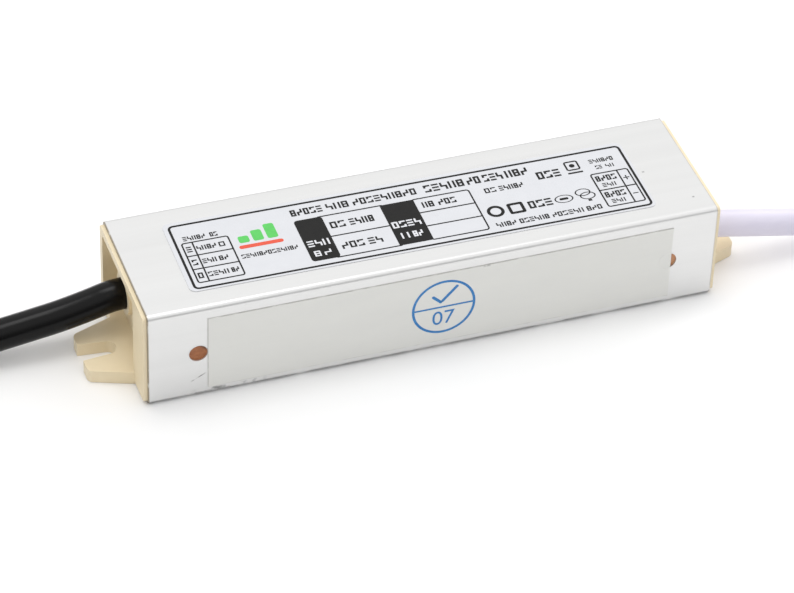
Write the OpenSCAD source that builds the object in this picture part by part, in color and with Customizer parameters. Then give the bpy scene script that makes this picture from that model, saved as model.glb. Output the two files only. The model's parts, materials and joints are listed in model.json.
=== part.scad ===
// Potted LED driver in an extruded aluminium tube with two moulded end caps.
// The tube lies along X on its flat bottom. The mains lead leaves at -X, the output lead at +X.
// Millimetres, +Z up, origin at the middle of the bottom.

/* [Housing] */
// Length of the extruded tube
tube_l = 126; // [122:1:170]
// Outer width of the tube
tube_w = 34; // [33:0.5:42]
// Outer height of the tube
tube_h = 23.5; // [23:0.5:30]
// Wall thickness of the tube
tube_wall = 1.5; // [1.2:0.1:1.8]
// Radius of the tube's long outer edges
tube_edge_r = 1.2; // [0.8:0.1:1.8]
// Radius of the tube's long inner corners
bore_edge_r = 0.6; // [0.4:0.1:1]
// Diameter of the two resin filling holes in the front wall
fill_d = 4; // [3:0.5:5]
// Distance from an end cap's plug to the edge of the nearest filling hole
fill_gap = 0.8; // [0.4:0.1:2]
// Depth of the cured resin below the outside of a filling hole
fill_sink = 0.4; // [0.2:0.1:0.8]

/* [End caps] */
// Thickness of the flange that closes on the tube's end
flange_t = 0.8; // [0.6:0.1:1.4]
// How far the flange stays inside the tube's outline
flange_inset = 0.5; // [0.3:0.1:0.8]
// Radius of the flange's corners
flange_r = 1; // [0.6:0.1:1.6]
// Length of the plug inside the tube
plug_l = 8; // [7:0.5:11]
// Clearance between the plug and the tube's inside
plug_gap = 0.1; // [0.05:0.05:0.2]
// Wall thickness of the plug where it is cored out from behind
plug_wall = 1.6; // [1.2:0.1:2]
// Width of the rim between the pocket and the flange's outline
pocket_rim = 1.8; // [1.5:0.1:2.2]
// Width of the pocket in the outer face
pocket_w = 23.3; // [20:0.1:25]
// Depth of the pocket from the outer face
pocket_depth = 3.2; // [2.2:0.1:4]
// Radius of the pocket's corners
pocket_r = 0.8; // [0.4:0.1:1.4]
// Thickness of the pocket's floor
floor_t = 1.6; // [1.2:0.1:2]
// Wall thickness of the collar around the lead
collar_wall = 1.2; // [0.8:0.1:1.6]
// Height of the collar above the pocket's floor
collar_out = 1; // [0.5:0.1:1.4]
// Length of the collar behind the pocket's floor
collar_in = 2; // [1:0.1:2.6]

/* [Mounting ears] */
// Length of an ear beyond the flange
ear_l = 9.2; // [8.6:0.2:13]
// Thickness of an ear
ear_t = 3; // [2.4:0.1:4]
// Width of an ear at the flange
ear_root_w = 19; // [16:0.5:21]
// Width of an ear at its tip
ear_tip_w = 13.2; // [12:0.2:15]
// Radius of an ear's outer corners
ear_r = 1.6; // [1:0.1:2.2]
// Radius of the round end of the screw slot
slot_r = 2.1; // [2.05:0.05:2.4]
// Width of the screw slot at its mouth
slot_mouth_w = 5.2; // [4.9:0.1:6]
// Length of the screw slot from the ear's tip
slot_l = 7.8; // [7:0.1:8.2]

/* [Labels] */
// Length of the rating label on top
label_l = 103; // [80:1:108]
// Width of the rating label
label_w = 23; // [18:0.5:26]
// Radius of the rating label's corners
label_r = 1.5; // [0.8:0.1:3]
// Thickness of both films
film_t = 0.12; // [0.08:0.02:0.2]
// Angle at which the rating label was stuck down, in degrees
label_skew = -0.5; // [-1:0.1:1]
// Distance of the rating label's middle in front of the tube's middle plane
label_shift = 0.5; // [-1:0.1:1]
// Distance of the rating label's middle from the tube's middle, towards the input end
label_offset = 0.5; // [-1:0.1:1]
// Length of the plain film on the front wall
film_l = 103.2; // [80:0.2:106]
// Height of the plain film
film_h = 18.5; // [14:0.5:20]
// Distance of the plain film's middle from the tube's middle
film_shift = 1.4; // [-2:0.1:2]
// Distance of the plain film's middle below the tube's middle
film_drop = 0.5; // [-0.5:0.1:0.8]

/* [Leads] */
// Diameter of the three-core mains lead
input_d = 6.8; // [6:0.1:7.4]
// Diameter of the two-core output lead
output_d = 6; // [5.4:0.1:6.8]
// Clearance between a lead and the bore of its collar
lead_gap = 0.05; // [0.05:0.05:0.2]
// Distance of each lead from the tube's middle plane
lead_y = 7; // [6:0.5:8]
// Height of each lead above the bottom
lead_z = 11; // [10:0.5:12]
// Length of sheath beyond the plug, inside the resin
sheath_tail = 1.5; // [1:0.1:2.4]
// Diameter of one insulated core
core_d = 2.2; // [1.8:0.1:2.4]
// Distance of the cores from the middle of the lead
core_pitch_r = 1.4; // [1.35:0.05:1.6]
// Diameter of a core's tinned end
tip_d = 1.2; // [0.9:0.1:1.4]
// Length of a core's tinned end
tip_l = 6; // [4:0.5:9]

/* [Circuit board] */
// Thickness of the insulating sleeve inside the tube
sleeve_t = 0.25; // [0.2:0.05:0.4]
// Thickness of the board
board_t = 1.6; // [1:0.1:2]
// Height of the board above the sleeve
board_lift = 3.2; // [3:0.1:3.6]
// Gap between the board's long edges and the sleeve
board_side_gap = 1.4; // [1:0.1:1.8]
// Distance from a filling hole to the board's end
board_end_gap = 1.2; // [0.6:0.1:2]
// Gap kept above the tallest components
head_gap = 1; // [0.5:0.1:1.4]
// Margin between the outermost components and the board's long edges
edge_gap = 0.6; // [0.3:0.1:1]
// Length of the solder pad rows at both ends of the board
pad_l = 4; // [3.4:0.1:4.6]
// Distance between the pads of neighbouring cores
pad_pitch = 4.4; // [4:0.1:4.6]
// Diameter of the component pins
pin_d = 0.8; // [0.6:0.1:1]
// Length of the pins below the board
pin_out = 1.4; // [1:0.1:1.8]
// Height of the leaded discs and diodes above the board
lead_stand = 1; // [0.6:0.1:1.4]

/* [Mains side] */
// Diameter of the round fuse
fuse_d = 8.4; // [7.6:0.1:9]
// Height of the fuse
fuse_h = 8; // [7:0.5:11]
// Diameter of the surge suppressor disc
varistor_d = 8.6; // [7:0.1:9.2]
// Thickness of the surge suppressor disc
varistor_t = 4.4; // [3.5:0.1:5]
// Thickness of the box film capacitor
box_cap_t = 6; // [5:0.1:7]
// Width of the box film capacitor
box_cap_w = 13; // [11:0.5:14]
// Height of the box film capacitor
box_cap_h = 11.5; // [9:0.5:13]
// Width of the bridge rectifier across its pins
bridge_w = 8.2; // [7:0.1:8.6]
// Length of the bridge rectifier
bridge_l = 8; // [7:0.1:8.6]
// Height of the bridge rectifier
bridge_h = 3.3; // [2.5:0.1:4]
// Thickness of the noise choke's ring core
choke_t = 5; // [4:0.1:5.6]
// Radial width of the ring core
choke_ring = 2.6; // [2:0.1:2.8]
// Thickness of the two windings on the ring core
choke_wire = 1; // [0.7:0.1:1.2]
// Thickness of the choke's moulded base
choke_base_t = 1.2; // [0.8:0.1:2]
// Distance of the choke's pins from the ends of its base
choke_pin_gap = 0.5; // [0.4:0.1:1]
// Depth of the curved seat in the base that holds the ring core
choke_seat = 0.5; // [0.3:0.1:0.6]

/* [Power stage] */
// Diameter of the main storage capacitor
bulk_d = 12.5; // [10:0.5:13]
// Length of the main storage capacitor
bulk_l = 18; // [15:0.5:20]
// Length of the transformer's core along the tube
core_l = 19; // [17:0.5:21]
// Width of the transformer's core
core_w = 20; // [18:0.5:22]
// Height of the transformer's core
core_h = 5.6; // [5:0.1:6.4]
// Thickness of the core's backs and of its outer legs
core_leg = 3; // [2.6:0.1:3.2]
// Width of the core's middle leg
core_mid = 5.4; // [4.8:0.1:6]
// Wall thickness of the transformer's bobbin
bobbin_wall = 0.8; // [0.6:0.1:1]
// Clearance between the bobbin and the core
bobbin_gap = 0.2; // [0.1:0.05:0.3]

/* [Output side] */
// Gap between the output coil and the two capacitors beside it
cap_gap = 0.45; // [0.3:0.05:1]
// Diameter of the output filter coil
coil_d = 6.4; // [5:0.1:6.8]
// Height of the output filter coil
coil_h = 9; // [7:0.5:12]
// Diameter of the safety capacitor disc
safety_cap_d = 7.6; // [6:0.1:8]
// Thickness of the safety capacitor disc
safety_cap_t = 3.6; // [3:0.1:4]
// Length of the optical coupler along the board
coupler_l = 4.6; // [4:0.1:5]
// Width of the optical coupler across its pins
coupler_w = 6.4; // [6:0.1:6.8]
// Height of the optical coupler
coupler_h = 3.4; // [3:0.1:4]
// Diameter of the output diode
diode_d = 5.2; // [4:0.1:5.6]
// Length of the output diode's body
diode_l = 8.6; // [7:0.1:9.5]

/* [Hidden] */
$fn = 48;
over = 1;                // how far a cut runs past the surface it cuts
cord_sides = 12;         // sides of a swept sheath
core_sides = 8;          // sides of a swept core

// Housing and caps
end_x = tube_l / 2;
in_w = tube_w - 2 * tube_wall;
in_h = tube_h - 2 * tube_wall;
fill_x = end_x - plug_l - fill_gap - fill_d / 2;
flange_w = tube_w - 2 * flange_inset;
flange_h = tube_h - 2 * flange_inset;
plug_w = in_w - 2 * plug_gap;
plug_h = in_h - 2 * plug_gap;
pocket_back = flange_w / 2 - pocket_rim;
pocket_front = pocket_back - pocket_w;
pocket_top = tube_h - flange_inset - pocket_rim;
floor_x = pocket_depth - flange_t;
core_out_w = plug_w - 2 * plug_wall;
core_out_h = plug_h - 2 * plug_wall;
tip_x = -flange_t - ear_l;
slot_x = tip_x + slot_l - slot_r;

// Board and the room above it
board_l = 2 * (fill_x - fill_d / 2 - board_end_gap);
board_w = in_w - 2 * (sleeve_t + board_side_gap);
board_z = tube_wall + sleeve_t + board_lift;
board_top = board_z + board_t;
sleeve_l = board_l + board_end_gap;
room = tube_h - tube_wall - sleeve_t - head_gap - board_top;
out_cap_d = board_w / 2 - edge_gap - coil_d / 2 - cap_gap;
choke_d = room - choke_base_t - 2 * choke_wire;

// Component rows along the board, from the mains end, with equal gaps between them
ROW_L = [
    pad_l, max(fuse_d, varistor_d), max(box_cap_t, bridge_l), choke_t + 2 * choke_wire, bulk_l + lead_stand,
    core_l, max(coupler_l, diode_d, safety_cap_t), out_cap_d, pad_l
];
function total(v, n) = n == 0 ? 0 : v[n - 1] + total(v, n - 1);
row_gap = (board_l - total(ROW_L, len(ROW_L))) / (len(ROW_L) + 1);
function row_x(i) = -board_l / 2 + row_gap * (i + 1) + total(ROW_L, i) + ROW_L[i] / 2;
function gap_x(i) = row_x(i) + (ROW_L[i] + row_gap) / 2;
function back_y(half) = board_w / 2 - edge_gap - half;
input_pad_x = row_x(0);
output_pad_x = row_x(8);

// Component places on the board
fuse_at = [row_x(1), back_y(fuse_d / 2)];
varistor_at = [row_x(1), -back_y(varistor_t / 2)];
box_cap_at = [row_x(2), back_y(box_cap_w / 2)];
bridge_at = [row_x(2), -back_y(bridge_w / 2)];
choke_at = [row_x(3), 0];
bulk_at = [row_x(4), back_y(bulk_d / 2)];
core_at = [row_x(5), 0];
coupler_at = [row_x(6), -back_y(coupler_w / 2)];
diode_at = [row_x(6), back_y(diode_d / 2)];
safety_cap_at = [row_x(6), (coupler_at.y + coupler_w / 2 + diode_at.y - diode_d / 2) / 2];
coil_at = [row_x(7), 0];
input_pads = [for (i = [-1:1]) [input_pad_x, lead_y + i * pad_pitch]];
output_pads = [for (i = [-1, 1]) [output_pad_x, -lead_y + i * pad_pitch / 2]];

// Pins of each component, as steps from its place
near = 2.5;              // half of the usual 5 mm lead spacing
far = 5;                 // half of the 10 mm lead spacing of larger parts
chip_pitch = 1.27;       // half of the 2.54 mm pin spacing of chips
FUSE_PINS = [[-near, 0], [near, 0]];
VARISTOR_PINS = [[-near, 0], [near, 0]];
BOX_CAP_PINS = [[0, -far], [0, far]];
BRIDGE_PINS = [for (x = [-near, near], y = [-near, near]) [x, y]];
choke_pin_y = choke_d / 2 - choke_pin_gap;
CHOKE_PINS = [for (x = [-1, 1], y = [-1, 1]) [x * choke_t / 2, y * choke_pin_y]];
COUPLER_PINS = [for (x = [-chip_pitch, chip_pitch], y = [-near, near]) [x, y]];
SAFETY_CAP_PINS = [[0, -near], [0, near]];
CAN_PINS = [[-near, 0], [near, 0]];
bulk_pin_x = -bulk_l / 2;
BULK_PINS = [[bulk_pin_x, -near], [bulk_pin_x, near]];
out_cap_y = back_y(out_cap_d / 2);
OUT_CAP_PINS = [for (y = [-out_cap_y, out_cap_y], p = CAN_PINS) [p.x, y]];
diode_loop = diode_d / 2 + pin_d;
DIODE_PINS = [[0, 0], [0, -diode_loop]];
rail_x = core_l / 2 - core_leg / 2;
BOBBIN_PINS = [for (x = [-rail_x, rail_x], y = [-3 * near:2 * near:3 * near]) [x, y]];
function placed(at, pins) = [for (p = pins) at + p];
BOARD_HOLES = concat(
    placed(fuse_at, FUSE_PINS), placed(varistor_at, VARISTOR_PINS), placed(box_cap_at, BOX_CAP_PINS),
    placed(bridge_at, BRIDGE_PINS), placed(choke_at, CHOKE_PINS), placed(bulk_at, BULK_PINS),
    placed(core_at, BOBBIN_PINS), placed(coupler_at, COUPLER_PINS), placed(safety_cap_at, SAFETY_CAP_PINS),
    placed(diode_at, DIODE_PINS), placed([row_x(7), 0], OUT_CAP_PINS), placed(coil_at, CAN_PINS)
);

// Lead routes, drawn for a tube end at x = 0 with the outside towards -X, as the caps are
// Each runs straight out of its collar, down to the surface and round in a half turn to the front
collar_x = floor_x - collar_out;
lead_straight = 0.4;     // straight stretch of a lead beyond its collar
sheath_x = plug_l + sheath_tail;
input_turn = [-80, lead_y, input_d / 2];
output_turn = [-72, lead_y, output_d / 2];
input_turn_r = 3 * input_d;
output_turn_r = 3 * output_d;
input_back = [4, 0, 0];
output_back = [19.5, 0, 0];
function half_turn(at, r, side) = [
    for (a = [0:15:180])
        at + r * [-sin(a), side * (1 - cos(a)), 0]
];
LEAD_START = [[sheath_x, lead_y, lead_z], [collar_x - lead_straight, lead_y, lead_z]];
INPUT_DROP = concat(LEAD_START, [
    [-2, lead_y, 10.6], [-5, lead_y, 9.8], [-9, lead_y, 8.8], [-13, lead_y, 7.95], [-18, lead_y, 7.15],
    [-25, lead_y, 6.1], [-32, lead_y, 5.05], [-39, lead_y, 4.1], [-46, lead_y, 3.5], [-54, lead_y, 3.4],
    [-62, lead_y, 3.4], [-71, lead_y, 3.4]
]);
OUTPUT_DROP = concat(LEAD_START, [
    [-3, lead_y, 10.9], [-7, lead_y, 10.25], [-12, lead_y, 9.2], [-17, lead_y, 8.15], [-22, lead_y, 7.1],
    [-28, lead_y, 5.85], [-34, lead_y, 4.65], [-40, lead_y, 3.7], [-47, lead_y, 3.1], [-54, lead_y, 3],
    [-63, lead_y, 3]
]);
function ending(turns, back) = concat(turns, [last(turns) + back]);
INPUT_ROUTE = concat(INPUT_DROP, ending(half_turn(input_turn, input_turn_r, -1), input_back));
OUTPUT_ROUTE = concat(OUTPUT_DROP, ending(half_turn(output_turn, output_turn_r, 1), output_back));

// Stripped cores, as steps from the end of their sheath, spread out on the surface
MIDDLE_CORE = [
    [0, 0, 1.4], [2, 0, 1.4], [5, 0, 1.1], [10, 0, 0], [15, 0, -1.2], [20, 0, -2.1], [25, 0, -2.3],
    [30, 0, -2.3]
];
LOW_CORE = [
    [0, 1.2, -0.7], [2, 1.2, -0.7], [5, 1.7, -0.9], [10, 2.8, -1.4], [15, 3.8, -2], [20, 4.4, -2.3],
    [25, 4.6, -2.3], [30, 4.6, -2.3]
];
LEVEL_CORE = [
    [0, 1.2, 0], [2, 1.2, 0], [5, 1.7, -0.3], [10, 2.8, -1], [15, 3.8, -1.6], [20, 4.4, -1.9],
    [25, 4.6, -1.9], [30, 4.6, -1.9]
];
function last(v) = v[len(v) - 1];
function beyond(lead, core, side) = [for (p = core) last(lead) + [p.x, side * p.y, p.z]];
LIVE_ROUTE = beyond(INPUT_ROUTE, MIDDLE_CORE, 1);
NEUTRAL_ROUTE = beyond(INPUT_ROUTE, LOW_CORE, -1);
EARTH_ROUTE = beyond(INPUT_ROUTE, LOW_CORE, 1);
PLUS_ROUTE = beyond(OUTPUT_ROUTE, LEVEL_CORE, -1);
MINUS_ROUTE = beyond(OUTPUT_ROUTE, LEVEL_CORE, 1);

// Rectangle with round corners, centred
module round_rect(w, h, r) {
    square([w, h - 2 * r], center = true);
    square([w - 2 * r, h], center = true);
    for (x = [-1, 1], y = [-1, 1])
        translate([x * (w / 2 - r), y * (h / 2 - r)])
            circle(r);
}

// Extrudes an outline drawn in Y and Z along X, from x to x + l
module along_x(x, l) {
    translate([x, 0, 0])
        rotate([90, 0, 90])
            linear_extrude(l)
                children();
}

// Bar of the tube's section: round rectangle centred on the tube's axis
module tube_bar(x, l, w, h, r) {
    along_x(x, l)
        translate([0, tube_h / 2])
            round_rect(w, h, r);
}

// Box from a lowest corner, a size, both given as lists
module box_at(corner, size) {
    translate(corner)
        cube(size);
}

// Round rod between two points
module rod(a, b, d) {
    v = b - a;
    translate(a)
        rotate([0, acos(v.z / norm(v)), atan2(v.y, v.x)])
            cylinder(h = norm(v), d = d);
}

// Tube swept along a route, with one ring at each point
function unit(v) = v / norm(v);
function heading(r, i) = unit(r[min(i + 1, len(r) - 1)] - r[max(i - 1, 0)]);
function sideways(t) = unit(cross([0, 0, 1], t));
function ring(r, i, d, n) = [
    let (t = heading(r, i), s = sideways(t), u = cross(t, s))
    for (k = [0:n - 1])
        r[i] + d / 2 * (cos(360 * k / n) * s + sin(360 * k / n) * u)
];
module swept(route, d, n) {
    m = len(route);
    points = [for (i = [0:m - 1]) each ring(route, i, d, n)];
    walls = [
        for (i = [0:m - 2], k = [0:n - 1])
            let (a = i * n + k, b = i * n + (k + 1) % n)
            each [[a, a + n, b], [b, a + n, b + n]]
    ];
    near_end = [for (k = [0:n - 1]) k];
    far_end = [for (k = [n - 1:-1:0]) (m - 1) * n + k];
    polyhedron(points, concat([near_end], walls, [far_end]));
}

// Pins that stand below a component and pass through the board
module pins(at, steps, top) {
    for (p = steps)
        translate([at.x + p.x, at.y + p.y, board_z - pin_out])
            cylinder(h = top - board_z + pin_out, d = pin_d, $fn = 24);
}

// Disc component that stands on edge: a lens-edged disc with its axis along Y
module disc_body(d, t) {
    rotate([90, 0, 0])
        rotate_extrude()
            polygon([
                [0, -t / 2], [d / 2 - t / 4, -t / 2], [d / 2, -t / 4], [d / 2, t / 4], [d / 2 - t / 4, t / 2],
                [0, t / 2]
            ]);
}

// Capacitor can with its crimp groove, standing on its sealed end
module can(d, h) {
    groove = d / 20;
    crimp = d / 5;
    rotate_extrude()
        polygon([
            [0, 0], [d / 2 - groove, 0], [d / 2, groove], [d / 2, crimp - groove], [d / 2 - groove, crimp],
            [d / 2, crimp + groove], [d / 2, h - groove], [d / 2 - groove, h], [0, h]
        ]);
}

// Extruded aluminium tube with the two filling holes
module housing() {
    color("gainsboro")
        difference() {
            tube_bar(-end_x, tube_l, tube_w, tube_h, tube_edge_r);
            tube_bar(-end_x - over, tube_l + 2 * over, in_w, in_h, bore_edge_r);
            fill_holes(-tube_w / 2 - over, tube_wall + 2 * over);
        }
}

// The two filling holes through the front wall, from y inwards over a length
module fill_holes(y, l) {
    for (side = [-1, 1])
        translate([side * fill_x, y, tube_h / 2])
            rotate([-90, 0, 0])
                cylinder(h = l, d = fill_d);
}

// Outline of an ear from above: straight at the flange, round corners at the tip
module ear_outline() {
    hull() {
        translate([-flange_t, -ear_root_w / 2])
            square([flange_t, ear_root_w]);
        for (side = [-1, 1])
            translate([tip_x + ear_r, side * (ear_tip_w / 2 - ear_r)])
                circle(ear_r, $fn = 32);
    }
}

// Screw slot of an ear: a true round end that widens to the mouth
module screw_slot() {
    translate([slot_x, 0, -over])
        cylinder(h = ear_t + 2 * over, r = slot_r);
    mouth = slot_mouth_w / 2 + (slot_mouth_w / 2 - slot_r) * over / (slot_x - tip_x);
    translate([0, 0, -over])
        linear_extrude(ear_t + 2 * over)
            polygon([[slot_x, -slot_r], [slot_x, slot_r], [tip_x - over, mouth], [tip_x - over, -mouth]]);
}

// Hollow behind a cap's face, which the resin fills, drawn for a tube end at x = 0
module cap_hollow(bore_d) {
    skin_x = floor_x + floor_t;
    front_w = pocket_front - plug_wall + core_out_w / 2;
    difference() {
        union() {
            box_at(
                [skin_x, -core_out_w / 2, tube_h / 2 - core_out_h / 2],
                [plug_l - skin_x, core_out_w, core_out_h]
            );
            box_at(
                [floor_t - flange_t, -core_out_w / 2, tube_h / 2 - core_out_h / 2],
                [plug_l - floor_t + flange_t, front_w, core_out_h]
            );
        }
        translate([skin_x - over, lead_y, lead_z])
            rotate([0, 90, 0])
                cylinder(h = collar_in + over, d = bore_d + 2 * collar_wall);
    }
}

// Moulded end cap for a tube end at x = 0, with its outside towards -X
module end_cap(lead_d) {
    bore_d = lead_d + 2 * lead_gap;
    difference() {
        union() {
            difference() {
                union() {
                    tube_bar(-flange_t, flange_t, flange_w, flange_h, flange_r);
                    tube_bar(0, plug_l, plug_w, plug_h, bore_edge_r);
                }
                along_x(-flange_t - over, pocket_depth + over)
                    translate([(pocket_back + pocket_front) / 2, (pocket_top + ear_t) / 2])
                        round_rect(pocket_w, pocket_top - ear_t, pocket_r);
            }
            translate([floor_x - collar_out, lead_y, lead_z])
                rotate([0, 90, 0])
                    cylinder(h = collar_out + floor_t, d = bore_d + 2 * collar_wall);
            difference() {
                linear_extrude(ear_t)
                    ear_outline();
                screw_slot();
            }
        }
        cap_hollow(bore_d);
        translate([-flange_t - over, lead_y, lead_z])
            rotate([0, 90, 0])
                cylinder(h = plug_l + flange_t + 2 * over, d = bore_d);
    }
}

module at_input_end() {
    translate([-end_x, 0, 0])
        children();
}

module at_output_end() {
    rotate([0, 0, 180])
        translate([-end_x, 0, 0])
            children();
}

module input_end_cap() {
    color("bisque")
        at_input_end()
            end_cap(input_d);
}

module output_end_cap() {
    color("bisque")
        at_output_end()
            end_cap(output_d);
}

// Printed film on top of the tube
module rating_label() {
    color("aliceblue")
        translate([-label_offset, -label_shift, tube_h])
            rotate([0, 0, label_skew])
                linear_extrude(film_t)
                    round_rect(label_l, label_w, label_r);
}

// Plain film on the front wall
module side_film() {
    color("lightgray")
        translate([film_shift, -tube_w / 2, tube_h / 2 - film_drop])
            rotate([90, 0, 0])
                linear_extrude(film_t)
                    square([film_l, film_h], center = true);
}

// Resin that fills the tube around the board, the hollows of the caps and the filling holes
module potting_resin() {
    color("sienna")
        difference() {
            union() {
                tube_bar(-end_x + plug_l, tube_l - 2 * plug_l, in_w, in_h, bore_edge_r);
                at_input_end()
                    cap_hollow(input_d + 2 * lead_gap);
                at_output_end()
                    cap_hollow(output_d + 2 * lead_gap);
                fill_holes(-tube_w / 2 + fill_sink, tube_wall - fill_sink + over);
            }
            insulation_sleeve();
            board_slab();
            fuse();
            surge_suppressor();
            box_film_capacitor();
            bridge_rectifier();
            choke_base();
            choke_core();
            choke_windings();
            storage_capacitor();
            transformer_bobbin();
            transformer_winding();
            transformer_core();
            controller_chip();
            switching_transistor();
            surface_parts();
            safety_capacitor();
            optical_coupler();
            output_diode();
            output_capacitors();
            output_coil();
            input_live_tail();
            input_neutral_tail();
            input_earth_tail();
            output_plus_tail();
            output_minus_tail();
            at_input_end()
                swept(LEAD_START, input_d, cord_sides);
            at_output_end()
                swept(LEAD_START, output_d, cord_sides);
        }
}

// Insulating film that lines the tube around the board
module insulation_sleeve() {
    color("ivory")
        difference() {
            tube_bar(-sleeve_l / 2, sleeve_l, in_w, in_h, bore_edge_r);
            tube_bar(
                -sleeve_l / 2 - over, sleeve_l + 2 * over, in_w - 2 * sleeve_t, in_h - 2 * sleeve_t,
                bore_edge_r - sleeve_t
            );
        }
}

module board_slab() {
    box_at([-board_l / 2, -board_w / 2, board_z], [board_l, board_w, board_t]);
}

// Board with a hole for every pin and core
module circuit_board() {
    color("darkgreen")
        difference() {
            board_slab();
            for (p = concat(BOARD_HOLES, input_pads, output_pads))
                translate([p.x, p.y, board_z - over])
                    cylinder(h = board_t + 2 * over, d = pin_d, $fn = 24);
        }
}

module fuse() {
    color("black") {
        translate([fuse_at.x, fuse_at.y, board_top])
            cylinder(h = fuse_h, d = fuse_d);
        pins(fuse_at, FUSE_PINS, board_top);
    }
}

module surge_suppressor() {
    color("royalblue") {
        translate([varistor_at.x, varistor_at.y, board_top + lead_stand + varistor_d / 2])
            disc_body(varistor_d, varistor_t);
        pins(varistor_at, VARISTOR_PINS, board_top + lead_stand + varistor_d / 2);
    }
}

module box_film_capacitor() {
    color("gold") {
        translate([box_cap_at.x, box_cap_at.y, board_top])
            linear_extrude(box_cap_h)
                round_rect(box_cap_t, box_cap_w, edge_gap);
        pins(box_cap_at, BOX_CAP_PINS, board_top);
    }
}

module bridge_rectifier() {
    color("black") {
        translate([bridge_at.x, bridge_at.y, board_top + lead_stand])
            linear_extrude(bridge_h)
                round_rect(bridge_l, bridge_w, edge_gap);
        pins(bridge_at, BRIDGE_PINS, board_top + lead_stand);
    }
}

// Ring of the noise choke, with its axis along X above its base
winding_span = 120;      // angle that each winding covers
module choke_ring(x_half, r_in, r_out, angle) {
    translate([choke_at.x, 0, board_top + choke_base_t + choke_wire + choke_d / 2])
        rotate([0, 90, 0])
            rotate([0, 0, 90 - angle / 2])
                rotate_extrude(angle = angle)
                    translate([r_in, -x_half])
                        square([r_out - r_in, 2 * x_half]);
}

module choke_base() {
    color("dimgray") {
        translate([choke_at.x, 0, board_top])
            linear_extrude(choke_base_t)
                round_rect(choke_t + 2 * choke_wire, choke_d, edge_gap);
        difference() {
            box_at(
                [choke_at.x - choke_t / 2, -choke_ring, board_top],
                [choke_t, 2 * choke_ring, choke_base_t + choke_wire + choke_seat]
            );
            choke_ring(choke_t, 0, choke_d / 2, 360);
        }
        pins(choke_at, CHOKE_PINS, board_top);
    }
}

module choke_core() {
    color("darkslategray")
        choke_ring(choke_t / 2, choke_d / 2 - choke_ring, choke_d / 2, 360);
}

module choke_windings() {
    color("peru")
        for (turn = [0, 1])
            mirror([0, turn, 0])
                difference() {
                    choke_ring(
                        choke_t / 2 + choke_wire, choke_d / 2 - choke_ring - choke_wire,
                        choke_d / 2 + choke_wire, winding_span
                    );
                    choke_ring(choke_t / 2, choke_d / 2 - choke_ring, choke_d / 2, 360);
                }
}

// Storage capacitor, lying along the board with its leads bent down
module storage_capacitor() {
    z = board_top + bulk_d / 2;
    body_x = bulk_at.x - bulk_l / 2 + lead_stand;
    color("midnightblue") {
        translate([body_x, bulk_at.y, z])
            rotate([0, 90, 0])
                can(bulk_d, bulk_l);
        for (p = BULK_PINS) {
            translate([bulk_at.x + p.x, bulk_at.y + p.y, z])
                rotate([0, 90, 0])
                    cylinder(h = body_x - bulk_at.x - p.x, d = pin_d, $fn = 24);
            translate([bulk_at.x + p.x, bulk_at.y + p.y, z])
                sphere(d = pin_d, $fn = 24);
        }
        pins(bulk_at, BULK_PINS, z);
    }
}

// Transformer: middle height, window and winding space follow from the room above the board
core_z = board_top + room / 2;
window_l = core_l - 2 * core_leg - 2 * bobbin_gap;
window_w = core_w - 2 * core_leg - 2 * bobbin_gap;
tube_in_w = core_mid + 2 * bobbin_gap;
tube_in_h = core_h + 2 * bobbin_gap;
module core_box(l, w, h) {
    translate([core_at.x, core_at.y, core_z])
        cube([l, w, h], center = true);
}

module transformer_core() {
    color("dimgray")
        difference() {
            core_box(core_l, core_w, core_h);
            difference() {
                core_box(core_l - 2 * core_leg, core_w - 2 * core_leg, core_h + 2 * over);
                core_box(core_l, core_mid, core_h + 4 * over);
            }
        }
}

module transformer_bobbin() {
    rail_h = core_z - core_h / 2 - bobbin_gap - board_top;
    rail_w = core_w - core_leg;
    color("black") {
        difference() {
            union() {
                core_box(window_l, tube_in_w + 2 * bobbin_wall, tube_in_h + 2 * bobbin_wall);
                for (side = [-1, 1])
                    translate([side * (window_l - bobbin_wall) / 2, 0, 0])
                        core_box(bobbin_wall, window_w, room);
            }
            core_box(core_l, tube_in_w, tube_in_h);
        }
        for (side = [-1, 1])
            translate([core_at.x + side * (core_l + window_l - 2 * bobbin_wall) / 4, 0, board_top])
                translate([-(core_l - window_l + 2 * bobbin_wall) / 4, -rail_w / 2, 0])
                    cube([(core_l - window_l + 2 * bobbin_wall) / 2, rail_w, rail_h]);
        pins(core_at, BOBBIN_PINS, board_top);
    }
}

module transformer_winding() {
    l = window_l - 2 * bobbin_wall;
    color("gold")
        difference() {
            along_x(core_at.x - l / 2, l)
                translate([core_at.y, core_z])
                    round_rect(window_w - 2 * bobbin_gap, room - 2 * bobbin_gap, bobbin_wall);
            core_box(core_l, tube_in_w + 2 * bobbin_wall, tube_in_h + 2 * bobbin_wall);
        }
}

// Small parts soldered flat under the board
chip_size = [5, 4, 1.6];
tab_size = [6.6, 6.2, 2.2];
chip_leg = 0.4;
chip_foot = 1;           // how far a chip's legs reach beyond its body
resistor_size = [1.6, 3.2, 0.6];
module under_board(x, y, size) {
    translate([x - size.x / 2, y - size.y / 2, board_z - size.z])
        cube(size);
}

module controller_chip() {
    x = row_x(4);
    y = back_y(chip_size.y);
    color("black") {
        under_board(x, y, chip_size);
        for (i = [-1.5:1.5])
            under_board(x + i * chip_pitch, y, [chip_leg, chip_size.y + 2 * chip_foot, chip_leg]);
    }
}

module switching_transistor() {
    color("black")
        under_board(row_x(4), -back_y(tab_size.y), tab_size);
}

// Small resistors and capacitors, in the gaps between the rows above them
module surface_parts() {
    color("saddlebrown")
        for (i = [1, 2, 5, 6], y = [-1, 0, 1])
            under_board(gap_x(i), y * board_w / 3, resistor_size);
}

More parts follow.
